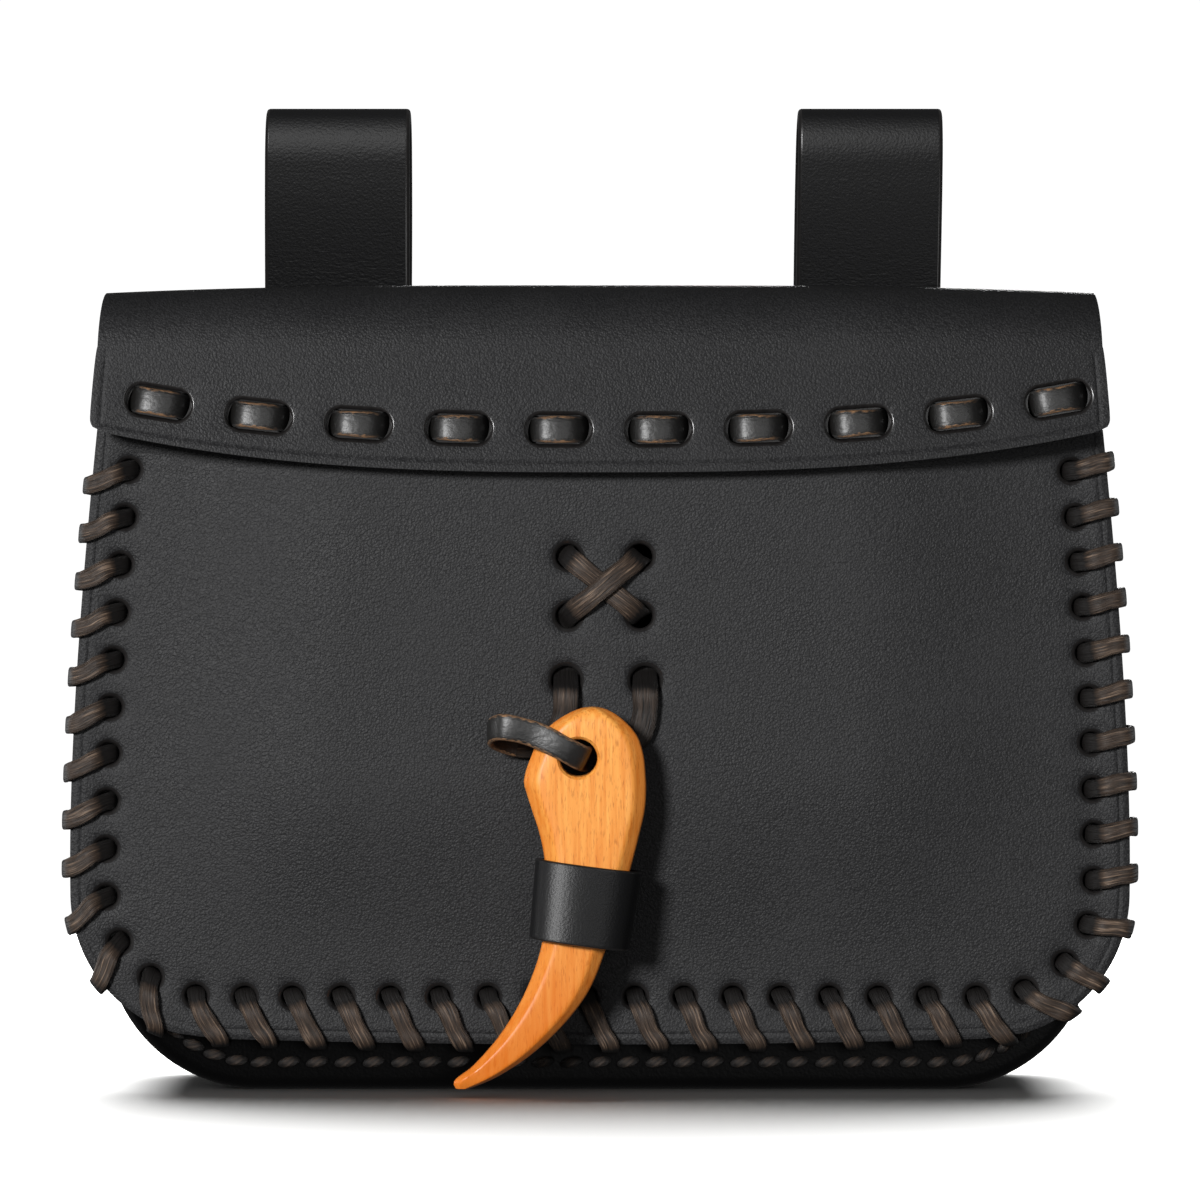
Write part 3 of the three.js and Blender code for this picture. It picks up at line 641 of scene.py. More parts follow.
roll_z = LOOP_TOP - COWHIDE / 2 - LOOP_RADIUS
loop_rows = [(0, LOOP_FRONT, z) for z in (LOOP_FOOT, LOOP_JOIN, LOOP_STRAIGHT)]
for number in range(ROLL_STEPS + 1):
    turn = number / ROLL_STEPS * math.pi
    roll_y = LOOP_FRONT + LOOP_RADIUS * (1 - math.cos(turn))
    ease = LOOP_FRONT_EASE if number < ROLL_STEPS / 2 else 0
    loop_rows.append((0, roll_y, roll_z - ease + (LOOP_RADIUS + ease) * math.sin(turn)))
for out, rise in LOOP_FALL:
    fall_y = mix(LOOP_REAR, LOOP_FRONT + 2 * LOOP_RADIUS, out)
    loop_rows.append((0, fall_y, mix(LOOP_JOIN, roll_z, rise)))
loop_rows.append((0, LOOP_REAR, LOOP_FOOT))
loop_route = [Vector(row) for row in smooth_route(loop_rows, LOOP_STEP)]


def loop_point(foot_x, top_x, column, row):
    """A point of a strap's outer face."""
    way = way_at(loop_route, row)
    y = loop_route[row].y - way.z * COWHIDE / 2
    z = loop_route[row].z + way.y * COWHIDE / 2
    middle = mix(foot_x, top_x, (z - LOOP_FOOT) / (LOOP_TOP - LOOP_FOOT))
    return placed(middle + column * LOOP_WIDTH / 2, y, z)


for name, foot_x, top_x in LOOP_PLACES:
    loop = laid_grid(
        "leather_" + name, both_ways(LOOP_WIDTH / 2, LOOP_COLUMN_STEP), range(len(loop_route)),
        functools.partial(loop_point, foot_x, top_x),
    )
    leather_wall(loop, strap_leather, COWHIDE, edge_round=0.7)
    smooth(loop)
    light_group("lit_high", loop)
    light_group("lit_by_key", loop, "EXCLUDE")
    light_group("all_but_loops", loop, "EXCLUDE")
    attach(loop, "bag")
    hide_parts(name)

# Gusset: one strip of 2.2 mm cowhide round both sides and the base. Its front edge is turned in as a
# lip behind the front panel, and its rear edge is sewn to the back.
GUSSET_LEATHER = 2.2
GUSSET_REAR = 38
LIP_WIDTH = 14
LIP_FOLD = 2.6
GUSSET_OUTLINE = {
    "top_half": 90, "top_z": 137.6, "pull_half": 100, "pull_z": 75,
    "corner_half": 94, "corner_radius": 29, "bottom_z": 0,
}
SIDE_STEPS = 100
CORNER_STEPS = 60
FOLD_STEPS = 8
LIP_STEP = 1.2
GUSSET_STEP = 2


def outline_route(outline, spacing):
    """Places (x, z), ways (x, z) and distances along a panel's outline, from top left to top right."""
    radius = outline["corner_radius"]
    centre = outline["corner_half"] - radius
    corner_z = outline["bottom_z"] + radius
    half = []
    for number in range(CORNER_STEPS):
        turn = number / CORNER_STEPS * math.pi / 2
        half.append((centre + radius * math.sin(turn), corner_z - radius * math.cos(turn)))
    for number in range(SIDE_STEPS + 1):
        share = number / SIDE_STEPS
        x = bowed(outline["corner_half"], outline["pull_half"], outline["top_half"], share)
        half.append((x, bowed(corner_z, outline["pull_z"], outline["top_z"], share)))
    base = [(centre * i / CORNER_STEPS, outline["bottom_z"]) for i in range(1 - CORNER_STEPS, CORNER_STEPS)]
    line, step = evened([(-x, z) for x, z in half[::-1]] + base + half, spacing)
    places = [Vector(place) for place in line]
    return [(place, way_at(places, number), number * step) for number, place in enumerate(places)]


gusset_route = outline_route(GUSSET_OUTLINE, GUSSET_STEP)
gusset_profile = [(LIP_WIDTH - distance, LIP_FRONT) for distance in graded(LIP_WIDTH - LIP_FOLD, LIP_STEP)]
for number in range(1, FOLD_STEPS + 1):
    turn = number / FOLD_STEPS * math.pi / 2
    gusset_profile.append((LIP_FOLD * (1 - math.sin(turn)), LIP_FRONT + LIP_FOLD * (1 - math.cos(turn))))
gusset_depth = GUSSET_REAR - LIP_FRONT - LIP_FOLD
gusset_profile += [(0, GUSSET_REAR - distance) for distance in graded(gusset_depth, GUSSET_STEP)[-2::-1]]


def gusset_point(column, row):
    """A point of the strip's outer face: its distance in from the outline, and its depth."""
    inset, y = gusset_profile[column]
    place, way, along = gusset_route[row]
    return placed(place.x - way.y * inset, y, place.y + way.x * inset)


gusset = laid_grid("leather_gusset", range(len(gusset_profile)), range(len(gusset_route)), gusset_point)
leather_wall(gusset, strap_leather, GUSSET_LEATHER, edge_round=0.6)
smooth(gusset)
light_group("lit_by_key", gusset, "EXCLUDE")
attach(gusset, "bag")
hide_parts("gusset")

# Front panel: a sheet of cowhide moulded to a low crown inside a flat rim. Holes are punched along its
# rim for the lacing and in its middle for the cross and the thong, and the lacing draws the leather in.
FRONT_OUTLINE = {
    "top_half": 93, "top_z": 143, "pull_half": 100.6, "pull_z": 75,
    "corner_half": 100, "corner_radius": 27.5, "bottom_z": 10,
}
FRONT_DIP = 1.1
FRONT_DIP_FADE = 25
FRONT_STEP = 1.15
CROWN_DEPTH = 4
CROWN_RIM = 9
CROWN_REACH = 42
RIM_ROLL = 0.45
RIM_ROLL_REACH = 2
PUCKER_DEPTH = 0.8
PUCKER_REACH = 3.2
HOLE_LINE = {
    "top_half": 86.2, "top_z": 143, "pull_half": 93.8, "pull_z": 75,
    "corner_half": 93.2, "corner_radius": 20, "bottom_z": 17.9,
}
HOLE_LINE_STEP = 0.25
HOLE_SET_BACK = 0.55
EDGE_HOLE = 2.0
FIRST_STITCH = 25.8
# A row for the left side, the base and the right side: stitches, pitch, slant along the rim.
EDGE_STRETCHES = ((11, 8.96, 3.8), (19, 9.22, 4.9), (12, 8.58, 1.3))
CROSS_LEFT = -6
CROSS_RIGHT = 7.5
CROSS_HIGH = 101
CROSS_LOW = 89.8
CROSS_HOLE = 2.3
THONG_LEFT = -6.4
THONG_RIGHT = 8.5
THONG_HOLE_Z = 77.7
THONG_HOLE = 2.7

hole_route = outline_route(HOLE_LINE, HOLE_LINE_STEP)
hole_step = hole_route[1][2]
edge_stitches = []
along = FIRST_STITCH
for count, pitch, advance in EDGE_STRETCHES:
    for number in range(count):
        edge_stitches.append((along, along + pitch, advance))
        along += pitch


def by_hole(along, outward):
    """A place by the line of holes (x, z), its distance out towards the edge, and the line's way."""
    place, way, walked = hole_route[min(round(along / hole_step), len(hole_route) - 1)]
    return place.x + way.y * outward, place.y - way.x * outward, way


rim_holes = [by_hole(along, 0)[:2] for along, following, advance in edge_stitches]
cross_holes = [(x, z) for x in (CROSS_LEFT, CROSS_RIGHT) for z in (CROSS_HIGH, CROSS_LOW)]
thong_holes = [(x, THONG_HOLE_Z) for x in (THONG_LEFT, THONG_RIGHT)]


def front_face(x, z):
    """Depth of the panel's front face: crown, rolled rim, crease along the rim, and puckers."""
    beside = half_width(FRONT_OUTLINE, z) - abs(x)
    above = z - FRONT_OUTLINE["bottom_z"]
    radius = FRONT_OUTLINE["corner_radius"]
    corner = (abs(x) - (FRONT_OUTLINE["corner_half"] - radius), radius - above)
    inside = radius - math.hypot(*corner) if min(corner) > 0 else min(beside, above)
    y = -CROWN_DEPTH
    for distance in (beside, above):
        y *= eased(distance, CROWN_RIM, CROWN_RIM + CROWN_REACH)
    y += RIM_ROLL * max(1 - inside / RIM_ROLL_REACH, 0) ** 2
    y += crease(inside)
    for hole_x, hole_z in rim_holes + cross_holes + thong_holes:
        away = math.hypot(x - hole_x, z - hole_z)
        if away < 3 * PUCKER_REACH:
            y += PUCKER_DEPTH * math.exp(-(away / PUCKER_REACH) ** 2)
    return y


def front_dip(x):
    """How far the panel's bottom edge sags below its corners."""
    flat_half = FRONT_OUTLINE["corner_half"] - FRONT_OUTLINE["corner_radius"]
    return FRONT_DIP * max(1 - (x / flat_half) ** 2, 0)


def front_point(column, row):
    """A point of the panel's front face."""
    z = FRONT_OUTLINE["bottom_z"] + row
    x = column * half_width(FRONT_OUTLINE, z)
    return placed(x, front_face(x, z), z - front_dip(x) * (1 - eased(row, 0, FRONT_DIP_FADE)))


front_columns = both_ways(FRONT_OUTLINE["corner_half"], FRONT_STEP)
front_rows = graded(FRONT_OUTLINE["top_z"] - FRONT_OUTLINE["bottom_z"], FRONT_STEP)
front_panel = laid_grid("leather_front_panel", front_columns, front_rows, front_point)
leather_wall(front_panel, cowhide, COWHIDE, edge_round=0.8)
for radius, holes, y in (
    (EDGE_HOLE, rim_holes, HOLE_SET_BACK),
    (CROSS_HOLE, cross_holes, HOLE_SET_BACK - CROWN_DEPTH),
    (THONG_HOLE, thong_holes, HOLE_SET_BACK - CROWN_DEPTH),
):
    cut(front_panel, copied(punch(radius, radius), [Matrix.Translation(placed(x, y, z)) for x, z in holes]))
smooth(front_panel)
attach(front_panel, "bag")
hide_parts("front_panel")

# Edge lace: one flat lace of waxed brown fibre. It comes out of each hole, crosses the rim at a slant,
# turns round the edge and goes back behind the panel to the next hole.
EDGE_LACE_WIDTH = 3.5
EDGE_LACE_THICKNESS = 1.0
EDGE_LACE_CLEAR = 1.0
EDGE_LACE_SLANT = 1.3
EDGE_LACE_SQUARE_RUN = 1.5
LACE_SIDES = 16
LACE_WIDTH_POWER = 0.45
LACE_THICKNESS_POWER = 0.75
# The waves of a lace's width: turn for each millimetre, and start.
LACE_SWELLS = ((0.83, 0), (0.31, 1))
LACE_SHADE_START = -0.7
LACE_SHADE_END = 0.9
LACE_DARK = "#090605"
LACE_BROWN = "#382C23"
LACE_LIGHT = "#85705E"
FIBRE_MM = 0.2
FIBRE_RUN_MM = 7


def squarer(wave, power):
    """A sine or a cosine bent by a power, so that the round it draws has flatter sides."""
    return math.copysign(abs(wave) ** power, wave)


def strip(name, material, rows, width, thickness, spacing, waver, face):
    """A flat lace along a route of (x, y, z, lean). The lean is the width's angle from x towards z,
    and face is the depth of the leather's front, where the lace comes out of its holes."""
    route = smooth_route(rows, spacing)
    places = [Vector(row[:3]) for row in route]
    turns = [number / LACE_SIDES for number in range(LACE_SIDES + 1)]

    def section_side(turn):
        """Where a point of the rounded section lies across the lace and out of it, from -1 to 1."""
        angle = turn * 2 * math.pi
        return squarer(math.cos(angle), LACE_WIDTH_POWER), squarer(math.sin(angle), LACE_THICKNESS_POWER)

    def lace_point(turn, row):
        """A point of the lace's surface."""
        way = way_at(places, row)
        lean = math.radians(route[row][3])
        side = Vector((math.cos(lean), 0, math.sin(lean)))
        side = (side - way * side.dot(way)).normalized()
        swell = 1
        for rate, start in LACE_SWELLS:
            swell += waver * math.sin(row * spacing * rate + start)
        across, proud = section_side(turn)
        place = places[row] + side * (across * width / 2 * swell) + side.cross(way) * (proud * thickness / 2)
        return placed(*place)

    piece = laid_grid(name, turns, range(len(route)), lace_point)
    mesh = piece.data
    around = 2 * (width + thickness) * MM
    length = spacing * len(route) * MM
    for loop in mesh.uv_layers.active.data:
        loop.uv = (loop.uv.x * around, loop.uv.y * length)
    edge = mesh.attributes.new("across", "FLOAT", "POINT")
    # outside: how far the lace stands out of its hole, which the lace materials use to paint shade into the
    # hole.
    outside = mesh.attributes.new("outside", "FLOAT", "POINT")
    for point in mesh.vertices:
        row, turn = divmod(point.index, len(turns))
        edge.data[point.index].value = section_side(turns[turn])[0]
        outside.data[point.index].value = eased(face - places[row].y, LACE_SHADE_START, LACE_SHADE_END)
    weld(piece)
    smooth(piece, degrees=60)
    mesh.materials.append(material)
    return piece


def by_edge(along, outward):
    """A place by the panel's edge (x, z), its distance out past the edge, and the line's way."""
    x, z, way = by_hole(along, 0)
    side_rim = FRONT_OUTLINE["corner_half"] - HOLE_LINE["corner_half"]
    base_rim = HOLE_LINE["bottom_z"] - FRONT_OUTLINE["bottom_z"] + front_dip(x)
    return by_hole(along, mix(side_rim, base_rim, way.x ** 2) + outward)


# Waxed fibre lace: long flat strands that lie side by side, brown with paler worn crests and dark
# grooves, painted darker with painted shade where it enters a hole, and a dull shine from the wax. A
# strand is drawn about twice its real width.
waxed_lace, add = new_material("waxed_fibre_lace")
along_lace = add("TexCoord", {}, "UV")
stretched = add(
    "Mapping", {"Vector": along_lace, "Scale": (1 / (FIBRE_MM * MM), 1 / (FIBRE_RUN_MM * MM), 1)},
)
strands = add("TexNoise", {"Vector": stretched, "Scale": 1.0, "Detail": 3.0, "Roughness": 0.6})
# Painted shade: the lace is darkened to a quarter where it enters a hole, by how far it is outside the
# leather.
wear_and_painted_shade = add("Attribute", {}, "Fac", attribute_name="outside")
painted_hole_shade = add("MapRange", {"Value": wear_and_painted_shade, "To Min": 0.25, "To Max": 1.0})
strands_in_shade = add("Math", {0: strands, 1: painted_hole_shade}, operation="MULTIPLY")
tone = add("ValToRGB", {"Fac": strands_in_shade}, stops=((0.3, LACE_DARK), (0.54, LACE_BROWN), (0.75, LACE_LIGHT)))
relief = add("Bump", {"Height": strands, "Strength": 1.0, "Distance": 0.3 * MM})
surface = add(
    "BsdfPrincipled", {"Base Color": tone, "Roughness": 0.6, "Specular IOR Level": 0.35, "Normal": relief},
)
add("OutputMaterial", {"Surface": surface})

lace_rows = []
for along, following, advance in edge_stitches:
    for x, z, way, y in (
        (*by_hole(along - advance * 0.05, -1.2), COWHIDE),
        (*by_hole(along, -0.4), COWHIDE / 2),
        (*by_hole(along + advance * 0.12, 1.1), 0),
        (*by_hole(along + advance * 0.28, 2.5), -EDGE_LACE_CLEAR),
        (*by_edge(along + advance * 0.65, -2.2), -EDGE_LACE_CLEAR),
        (*by_edge(along + advance * 0.92, 0), -EDGE_LACE_CLEAR + 0.25),
        (*by_edge(along + advance, EDGE_LACE_CLEAR), 0.4),
        (*by_edge(along + advance, EDGE_LACE_CLEAR), COWHIDE),
        (*by_edge(along + advance, 0), COWHIDE + EDGE_LACE_CLEAR),
        (*by_edge(along + advance, -EDGE_LACE_SQUARE_RUN), COWHIDE + EDGE_LACE_CLEAR),
        (*by_hole(following, EDGE_LACE_SLANT + EDGE_LACE_SQUARE_RUN), COWHIDE + EDGE_LACE_CLEAR),
        (*by_hole(following, EDGE_LACE_SLANT), COWHIDE + EDGE_LACE_CLEAR),
    ):
        lace_rows.append((x, y, z, math.degrees(math.atan2(way.y, way.x))))
edge_lace = strip(
    "waxed_edge_lace", waxed_lace, lace_rows, EDGE_LACE_WIDTH, EDGE_LACE_THICKNESS,
    spacing=0.6, waver=0.04, face=0,
)
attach(edge_lace, "bag")
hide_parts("edge_lace")

# Saddle stitches: the same fibre as a thin waxed thread, sewn by hand. They run along the lip, round the
# edge of the back, and round the feet of the belt loops.
STITCH_PITCH = 5.4
STITCH_LENGTH = 4.4
STITCH_THICKNESS = 2.1
STITCH_SLANT = 12
STITCH_TWIST = 40
# The painted-shade mask's value at a stitch's middle. It falls towards both ends.
STITCH_SHADE_MIDDLE = 0.8
LIP_SEAM_INSET = 5.3
LIP_SEAM_HIGHEST = 12.4
LIP_SEAM_PROUD = 0.4
BACK_SEAM_INSET = 4
LOOP_SEAM_HALF = 10.8
LOOP_SEAM_LOW = 66
LOOP_SEAM_HIGH = 92
LOOP_SEAM_ACROSS = 5
LOOP_SEAM_UP = 6


def stitch_row(name, places):
    """Stitches of one seam, each at a place (x, y, z) with its way's angle from x towards z."""
    bead = made(
        "stitch", bpy.ops.mesh.primitive_uv_sphere_add, segments=10, ring_count=8, radius=MM,
        rotation=(0, math.radians(90), 0),
    )
    bead.scale = (STITCH_THICKNESS / 2, STITCH_THICKNESS / 2, STITCH_LENGTH / 2)
    bpy.ops.object.transform_apply(location=True, rotation=True, scale=True)
    for loop in bead.data.uv_layers.active.data:
        along = loop.uv.y * STITCH_LENGTH * MM
        around = loop.uv.x * math.pi * STITCH_THICKNESS * MM
        loop.uv = (around + along * math.tan(math.radians(STITCH_TWIST)), along)
    # Painted shade: both ends of each stitch, where the thread goes into the leather, are darkened by the
    # lace's hole shade.
    outside = bead.data.attributes.new("outside", "FLOAT", "POINT")
    for point in bead.data.vertices:
        toward_end = abs(point.co.x / MM / (STITCH_LENGTH / 2))
        outside.data[point.index].value = STITCH_SHADE_MIDDLE - toward_end ** 2
    bead.data.materials.append(waxed_lace)
    turned = []
    for x, y, z, angle in places:
        lean = Matrix.Rotation(-math.radians(angle + STITCH_SLANT), 4, "Y")
        turned.append(Matrix.Translation(placed(x, y, z)) @ lean)
    seam = copied(bead, turned)
    seam.name = name
    seam.data.name = name
    smooth(seam, degrees=80)
    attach(seam, "bag")


def along_outline(outline, inset, y, highest):
    """Stitch places along a panel's outline, some way inside it and below a height."""
    places = []
    for place, way, along in outline_route(outline, STITCH_PITCH):
        x = place.x - way.y * inset
        z = place.y + way.x * inset
        if z < highest:
            places.append((x, y, z, math.degrees(math.atan2(way.y, way.x))))
    return places


lip_face = LIP_FRONT - LIP_SEAM_PROUD
back_face = BACK_MIDDLE + COWHIDE / 2
loop_face = LOOP_REAR + COWHIDE / 2
stitch_row("lip_stitches", along_outline(GUSSET_OUTLINE, LIP_SEAM_INSET, lip_face, LIP_SEAM_HIGHEST))
stitch_row("back_stitches", along_outline(BACK_OUTLINE, BACK_SEAM_INSET, back_face, BACK_OUTLINE["top_z"]))
loop_seam = []
for name, foot_x, top_x in LOOP_PLACES:
    for number in range(LOOP_SEAM_ACROSS):
        x = foot_x + mix(-LOOP_SEAM_HALF, LOOP_SEAM_HALF, (number + 0.5) / LOOP_SEAM_ACROSS)
        loop_seam += [(x, loop_face, z, 0) for z in (LOOP_SEAM_LOW, LOOP_SEAM_HIGH)]
    for number in range(LOOP_SEAM_UP):
        z = mix(LOOP_SEAM_LOW, LOOP_SEAM_HIGH, (number + 0.5) / LOOP_SEAM_UP)
        loop_seam += [(foot_x + side * LOOP_SEAM_HALF, loop_face, z, 90) for side in (-1, 1)]
stitch_row("loop_stitches", loop_seam)

# Flap lace: a strip of leather run in and out through pairs of holes above the flap's edge. Its top is
# black and its two raw edges show brown fibre.
FLAP_LACE_WIDTH = 4.9
FLAP_LACE_THICKNESS = 1.1
RAW_BROWN = "#86623F"
RAW_DARK = "#2A1B10"
STRIP_BLACK = "#161514"
# The painted shade inside the holes.
HOLE_SHADE_BLACK = "#040302"
RAW_FIBRE = 0.35
RAW_FIBRE_RUN = 1.1

# Lace leather: a narrow strip of dyed hide. The dye stops at the cut, so both edges are raw and brown,
# and a little ragged where the fibres stand out. Where it enters a hole it is painted near black, as
# painted shade.
lace_leather, add = new_material("raw_edged_lace_leather")
along_lace = add("TexCoord", {}, "UV")
stretched = add(
    "Mapping", {"Vector": along_lace, "Scale": (1 / (RAW_FIBRE * MM), 1 / (RAW_FIBRE_RUN * MM), 1)},
)
fibres = add("TexNoise", {"Vector": stretched, "Scale": 1.0, "Detail": 4.0})
across = add("Attribute", {}, "Fac", attribute_name="across")
beside = add("Math", {0: across}, operation="ABSOLUTE")
ragged = add("Math", {0: fibres, 1: 0.6, 2: beside}, operation="MULTIPLY_ADD")
raw = add("MapRange", {"Value": ragged, "From Min": 1.1, "From Max": 1.2})
brown = add("ValToRGB", {"Fac": fibres}, stops=((0.35, RAW_DARK), (0.65, RAW_BROWN)))
dyed = add("Mix", {0: raw, 6: linear(STRIP_BLACK), 7: brown}, 2, data_type="RGBA")
# Painted shade: near black where the lace enters a hole, by how far it is outside the leather.
wear_and_painted_shade = add("Attribute", {}, "Fac", attribute_name="outside")
tone = add("Mix", {0: wear_and_painted_shade, 6: linear(HOLE_SHADE_BLACK), 7: dyed}, 2, data_type="RGBA")
shine = add("MapRange", {"Value": raw, "To Min": 0.45, "To Max": 0.85})
relief = add("Bump", {"Height": fibres, "Strength": 0.5, "Distance": 0.2 * MM})
surface = add(
    "BsdfPrincipled", {"Base Color": tone, "Roughness": shine, "Specular IOR Level": 0.7, "Normal": relief},
)
add("OutputMaterial", {"Surface": surface})

flap_lace_rows = []
flap_inside = FLAP_FRONT_MIDDLE + COWHIDE / 2 + 0.85
flap_outside = FLAP_FRONT_MIDDLE - COWHIDE / 2
for stitch in flap_stitches:
    for beside, y in (
        (-5.4, flap_inside), (-4.4, FLAP_FRONT_MIDDLE), (-2.9, flap_outside - 0.3),
        (-0.7, flap_outside - 0.75), (2.6, flap_outside - 0.2), (4.3, FLAP_FRONT_MIDDLE), (5.4, flap_inside),
    ):
        x, z = along_stitch(stitch, beside)
        flap_lace_rows.append((x, y, z, 90 + math.degrees(stitch[2])))
flap_lace = strip(
    "leather_flap_lace", lace_leather, flap_lace_rows, FLAP_LACE_WIDTH, FLAP_LACE_THICKNESS,
    spacing=0.5, waver=0.03, face=flap_outside,
)
light_group("lit_low", flap_lace)
light_group("lit_by_key", flap_lace, "EXCLUDE")
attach(flap_lace, "bag")
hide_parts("flap_lace")

# Crossed lace: a short end of the waxed lace that makes a cross on the front. It runs in and out through
# four punched holes, and both of its ends are tucked in behind the panel.
CROSS_LACE_WIDTH = 4.1
CROSS_LACE_THICKNESS = 1.1
cross_on_face = -CROWN_DEPTH - 0.4
cross_in_hole = COWHIDE / 2 - CROWN_DEPTH
cross_behind = COWHIDE - CROWN_DEPTH + 0.85
cross_over = cross_on_face - 1.2
middle_x = (CROSS_LEFT + CROSS_RIGHT) / 2
middle_z = (CROSS_HIGH + CROSS_LOW) / 2
cross_rows = (
    (CROSS_LEFT - 4, cross_behind, CROSS_HIGH + 4, 50),
    (CROSS_LEFT - 1, cross_behind, CROSS_HIGH + 1.6, 50),
    (CROSS_LEFT, cross_in_hole, CROSS_HIGH, 52),
    (CROSS_LEFT + 1.6, cross_on_face, CROSS_HIGH - 1.4, 53),
    (middle_x, cross_on_face - 0.1, middle_z, 53),
    (CROSS_RIGHT - 1.6, cross_on_face, CROSS_LOW + 1.4, 53),
    (CROSS_RIGHT, cross_in_hole, CROSS_LOW, 40),
    (CROSS_RIGHT + 0.3, cross_behind, CROSS_LOW + 2.2, 5),
    (CROSS_RIGHT + 0.3, cross_behind, CROSS_HIGH - 2.2, -5),
    (CROSS_RIGHT, cross_in_hole, CROSS_HIGH, -40),
    (CROSS_RIGHT - 1.6, cross_on_face, CROSS_HIGH - 1.4, -53),
    (middle_x + 2.6, cross_over, middle_z + 2.2, -53),
    (middle_x - 2.6, cross_over, middle_z - 2.2, -53),
    (CROSS_LEFT + 1.6, cross_on_face, CROSS_LOW + 1.4, -53),
    (CROSS_LEFT, cross_in_hole, CROSS_LOW, -52),
    (CROSS_LEFT - 1, cross_behind, CROSS_LOW - 1.6, -50),
    (CROSS_LEFT - 4, cross_behind, CROSS_LOW - 4, -50),
)
cross_lace = strip(
    "waxed_cross_lace", waxed_lace, cross_rows, CROSS_LACE_WIDTH, CROSS_LACE_THICKNESS,
    spacing=0.4, waver=0.03, face=0.4 - CROWN_DEPTH,
)
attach(cross_lace, "bag")
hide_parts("cross_lace")

# Toggle thong: a strip of the raw-edged lace leather. It comes out of the left hole, turns round the
# toggle's left side and across its face, goes through its hole and up behind it to the right hole. By
# the panel it shows its flesh side, with the same long fibres as the lace.
THONG_WIDTH = 4.8
THONG_THICKNESS = 1.4
TOGGLE_FACE = -15.3
thong_inside = COWHIDE - CROWN_DEPTH + 1
thong_on_panel = -CROWN_DEPTH - 1.3
thong_on_toggle = TOGGLE_FACE - 1
thong_in_hole = COWHIDE / 2 - CROWN_DEPTH
thong_turn = thong_on_panel - 1.5
thong_rows = (
    (THONG_LEFT, thong_inside, 82.7, 0), (THONG_LEFT, thong_inside, 79.9, 0),
    (THONG_LEFT, thong_in_hole, THONG_HOLE_Z, 0), (THONG_LEFT, thong_on_panel, 75.5, 0),
    (-6.8, thong_on_panel, 70.5, -4), (-8.8, thong_on_panel, 66.8, -46), (-13, thong_on_panel, 65.6, -80),
    (-18, -7.6, 66.4, -90), (-20.4, -11.4, 68, -90), (-18.2, thong_on_toggle, 69.2, -96),
    (-12.6, thong_on_toggle, 68, -110), (-5.6, thong_on_toggle, 64.6, -118), (-3.4, -14.7, 63.4, -118),
    (-2.9, -11.3, 63.2, -116), (-2.8, -7.9, 63.1, -110), (-0.8, thong_on_panel, 62.8, -92),
    (3.6, thong_on_panel, 64, -68), (7.2, thong_on_panel, 67.2, -36), (THONG_RIGHT, thong_on_panel, 71.5, -4),
    (THONG_RIGHT, thong_on_panel, 75.5, 0), (THONG_RIGHT, thong_in_hole, THONG_HOLE_Z, 0),
    (THONG_RIGHT, thong_inside, 79.9, 0), (THONG_RIGHT, thong_inside, 82.7, 0),
)
thong = strip(
    "leather_toggle_thong", lace_leather, thong_rows, THONG_WIDTH, THONG_THICKNESS,
    spacing=0.5, waver=0.02, face=-CROWN_DEPTH - 1,
)
thong.data.materials.append(waxed_lace)
for face in thong.data.polygons:
    face.material_index = int(face.center.y > placed(0, thong_turn, 0).y)
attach(thong, "bag")
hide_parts("toggle_thong")

# Toggle: a tusk carved from a piece of beech, flat on its face and back, chamfered along its sides,
# drilled for the thong, stained orange and lacquered.
TOGGLE_MIDDLE = -11.3
TOGGLE_HOLE_X = -4
TOGGLE_HOLE_Z = 63.4
TOGGLE_HOLE_RADIUS = 3.5
TOGGLE_HOLE_FLARE = 0.5
TOGGLE_HOLE_DEPTH = 12
TOGGLE_HOLE_SET_BACK = 0.25
TOGGLE_CHAMFER = 0.28
TOGGLE_CHAMFER_SLANT = 1.15
TOGGLE_SLANT_MOST = 0.3
TOGGLE_CORNER_CUT = 0.06
TOGGLE_CORNER_STEPS = (0.28, 0.12)
TOGGLE_STEP = 0.8
TOGGLE_SIDES = 40
# A row for each section: height, left edge, right edge, thickness.
TOGGLE_ROWS = (
    (72.9, -1.9, -0.9, 2.4), (72.75, -3, 0.1, 4), (72.35, -4.4, 1.4, 5.6), (71.6, -6, 2.8, 6.8),
    (70.4, -8, 4.4, 7.6), (68, -10.8, 6.6, 8),
    (64, -12.7, 8.1, 8), (60.2, -14, 8.5, 8), (58.8, -14.2, 8.6, 8), (57.2, -13.8, 8.6, 8),
    (54, -12.8, 8.4, 8), (49, -11.2, 7.3, 8),
    (43.5, -10.2, 5.9, 8), (36, -10, 3.7, 7.8), (28, -11, 1.2, 7.4), (19.6, -14, -2.3, 6.8),
    (11.5, -18.8, -8.9, 6), (5.8, -23.8, -16, 4.8), (2.6, -27.3, -22, 3.6), (1.7, -26.9, -24.4, 2.6),
)
WOOD_PALE = "#F0A852"
WOOD_ORANGE = "#DC8431"
WOOD_DARK = "#9C4E14"
WOOD_RIM = "#CC620A"
WOOD_TILT = -12
# Width, length and detail of the grain lines and of the rays.
WOOD_LINE = (0.9, 16, 3.0)
WOOD_RAY = (0.32, 2, 2.0)
WOOD_TAIL_HIGH = 50
WOOD_TAIL_LOW = 5
toggle_rows = smooth_route(
    [((left + right) / 2, thick, z, left, right) for z, left, right, thick in TOGGLE_ROWS], TOGGLE_STEP,
)


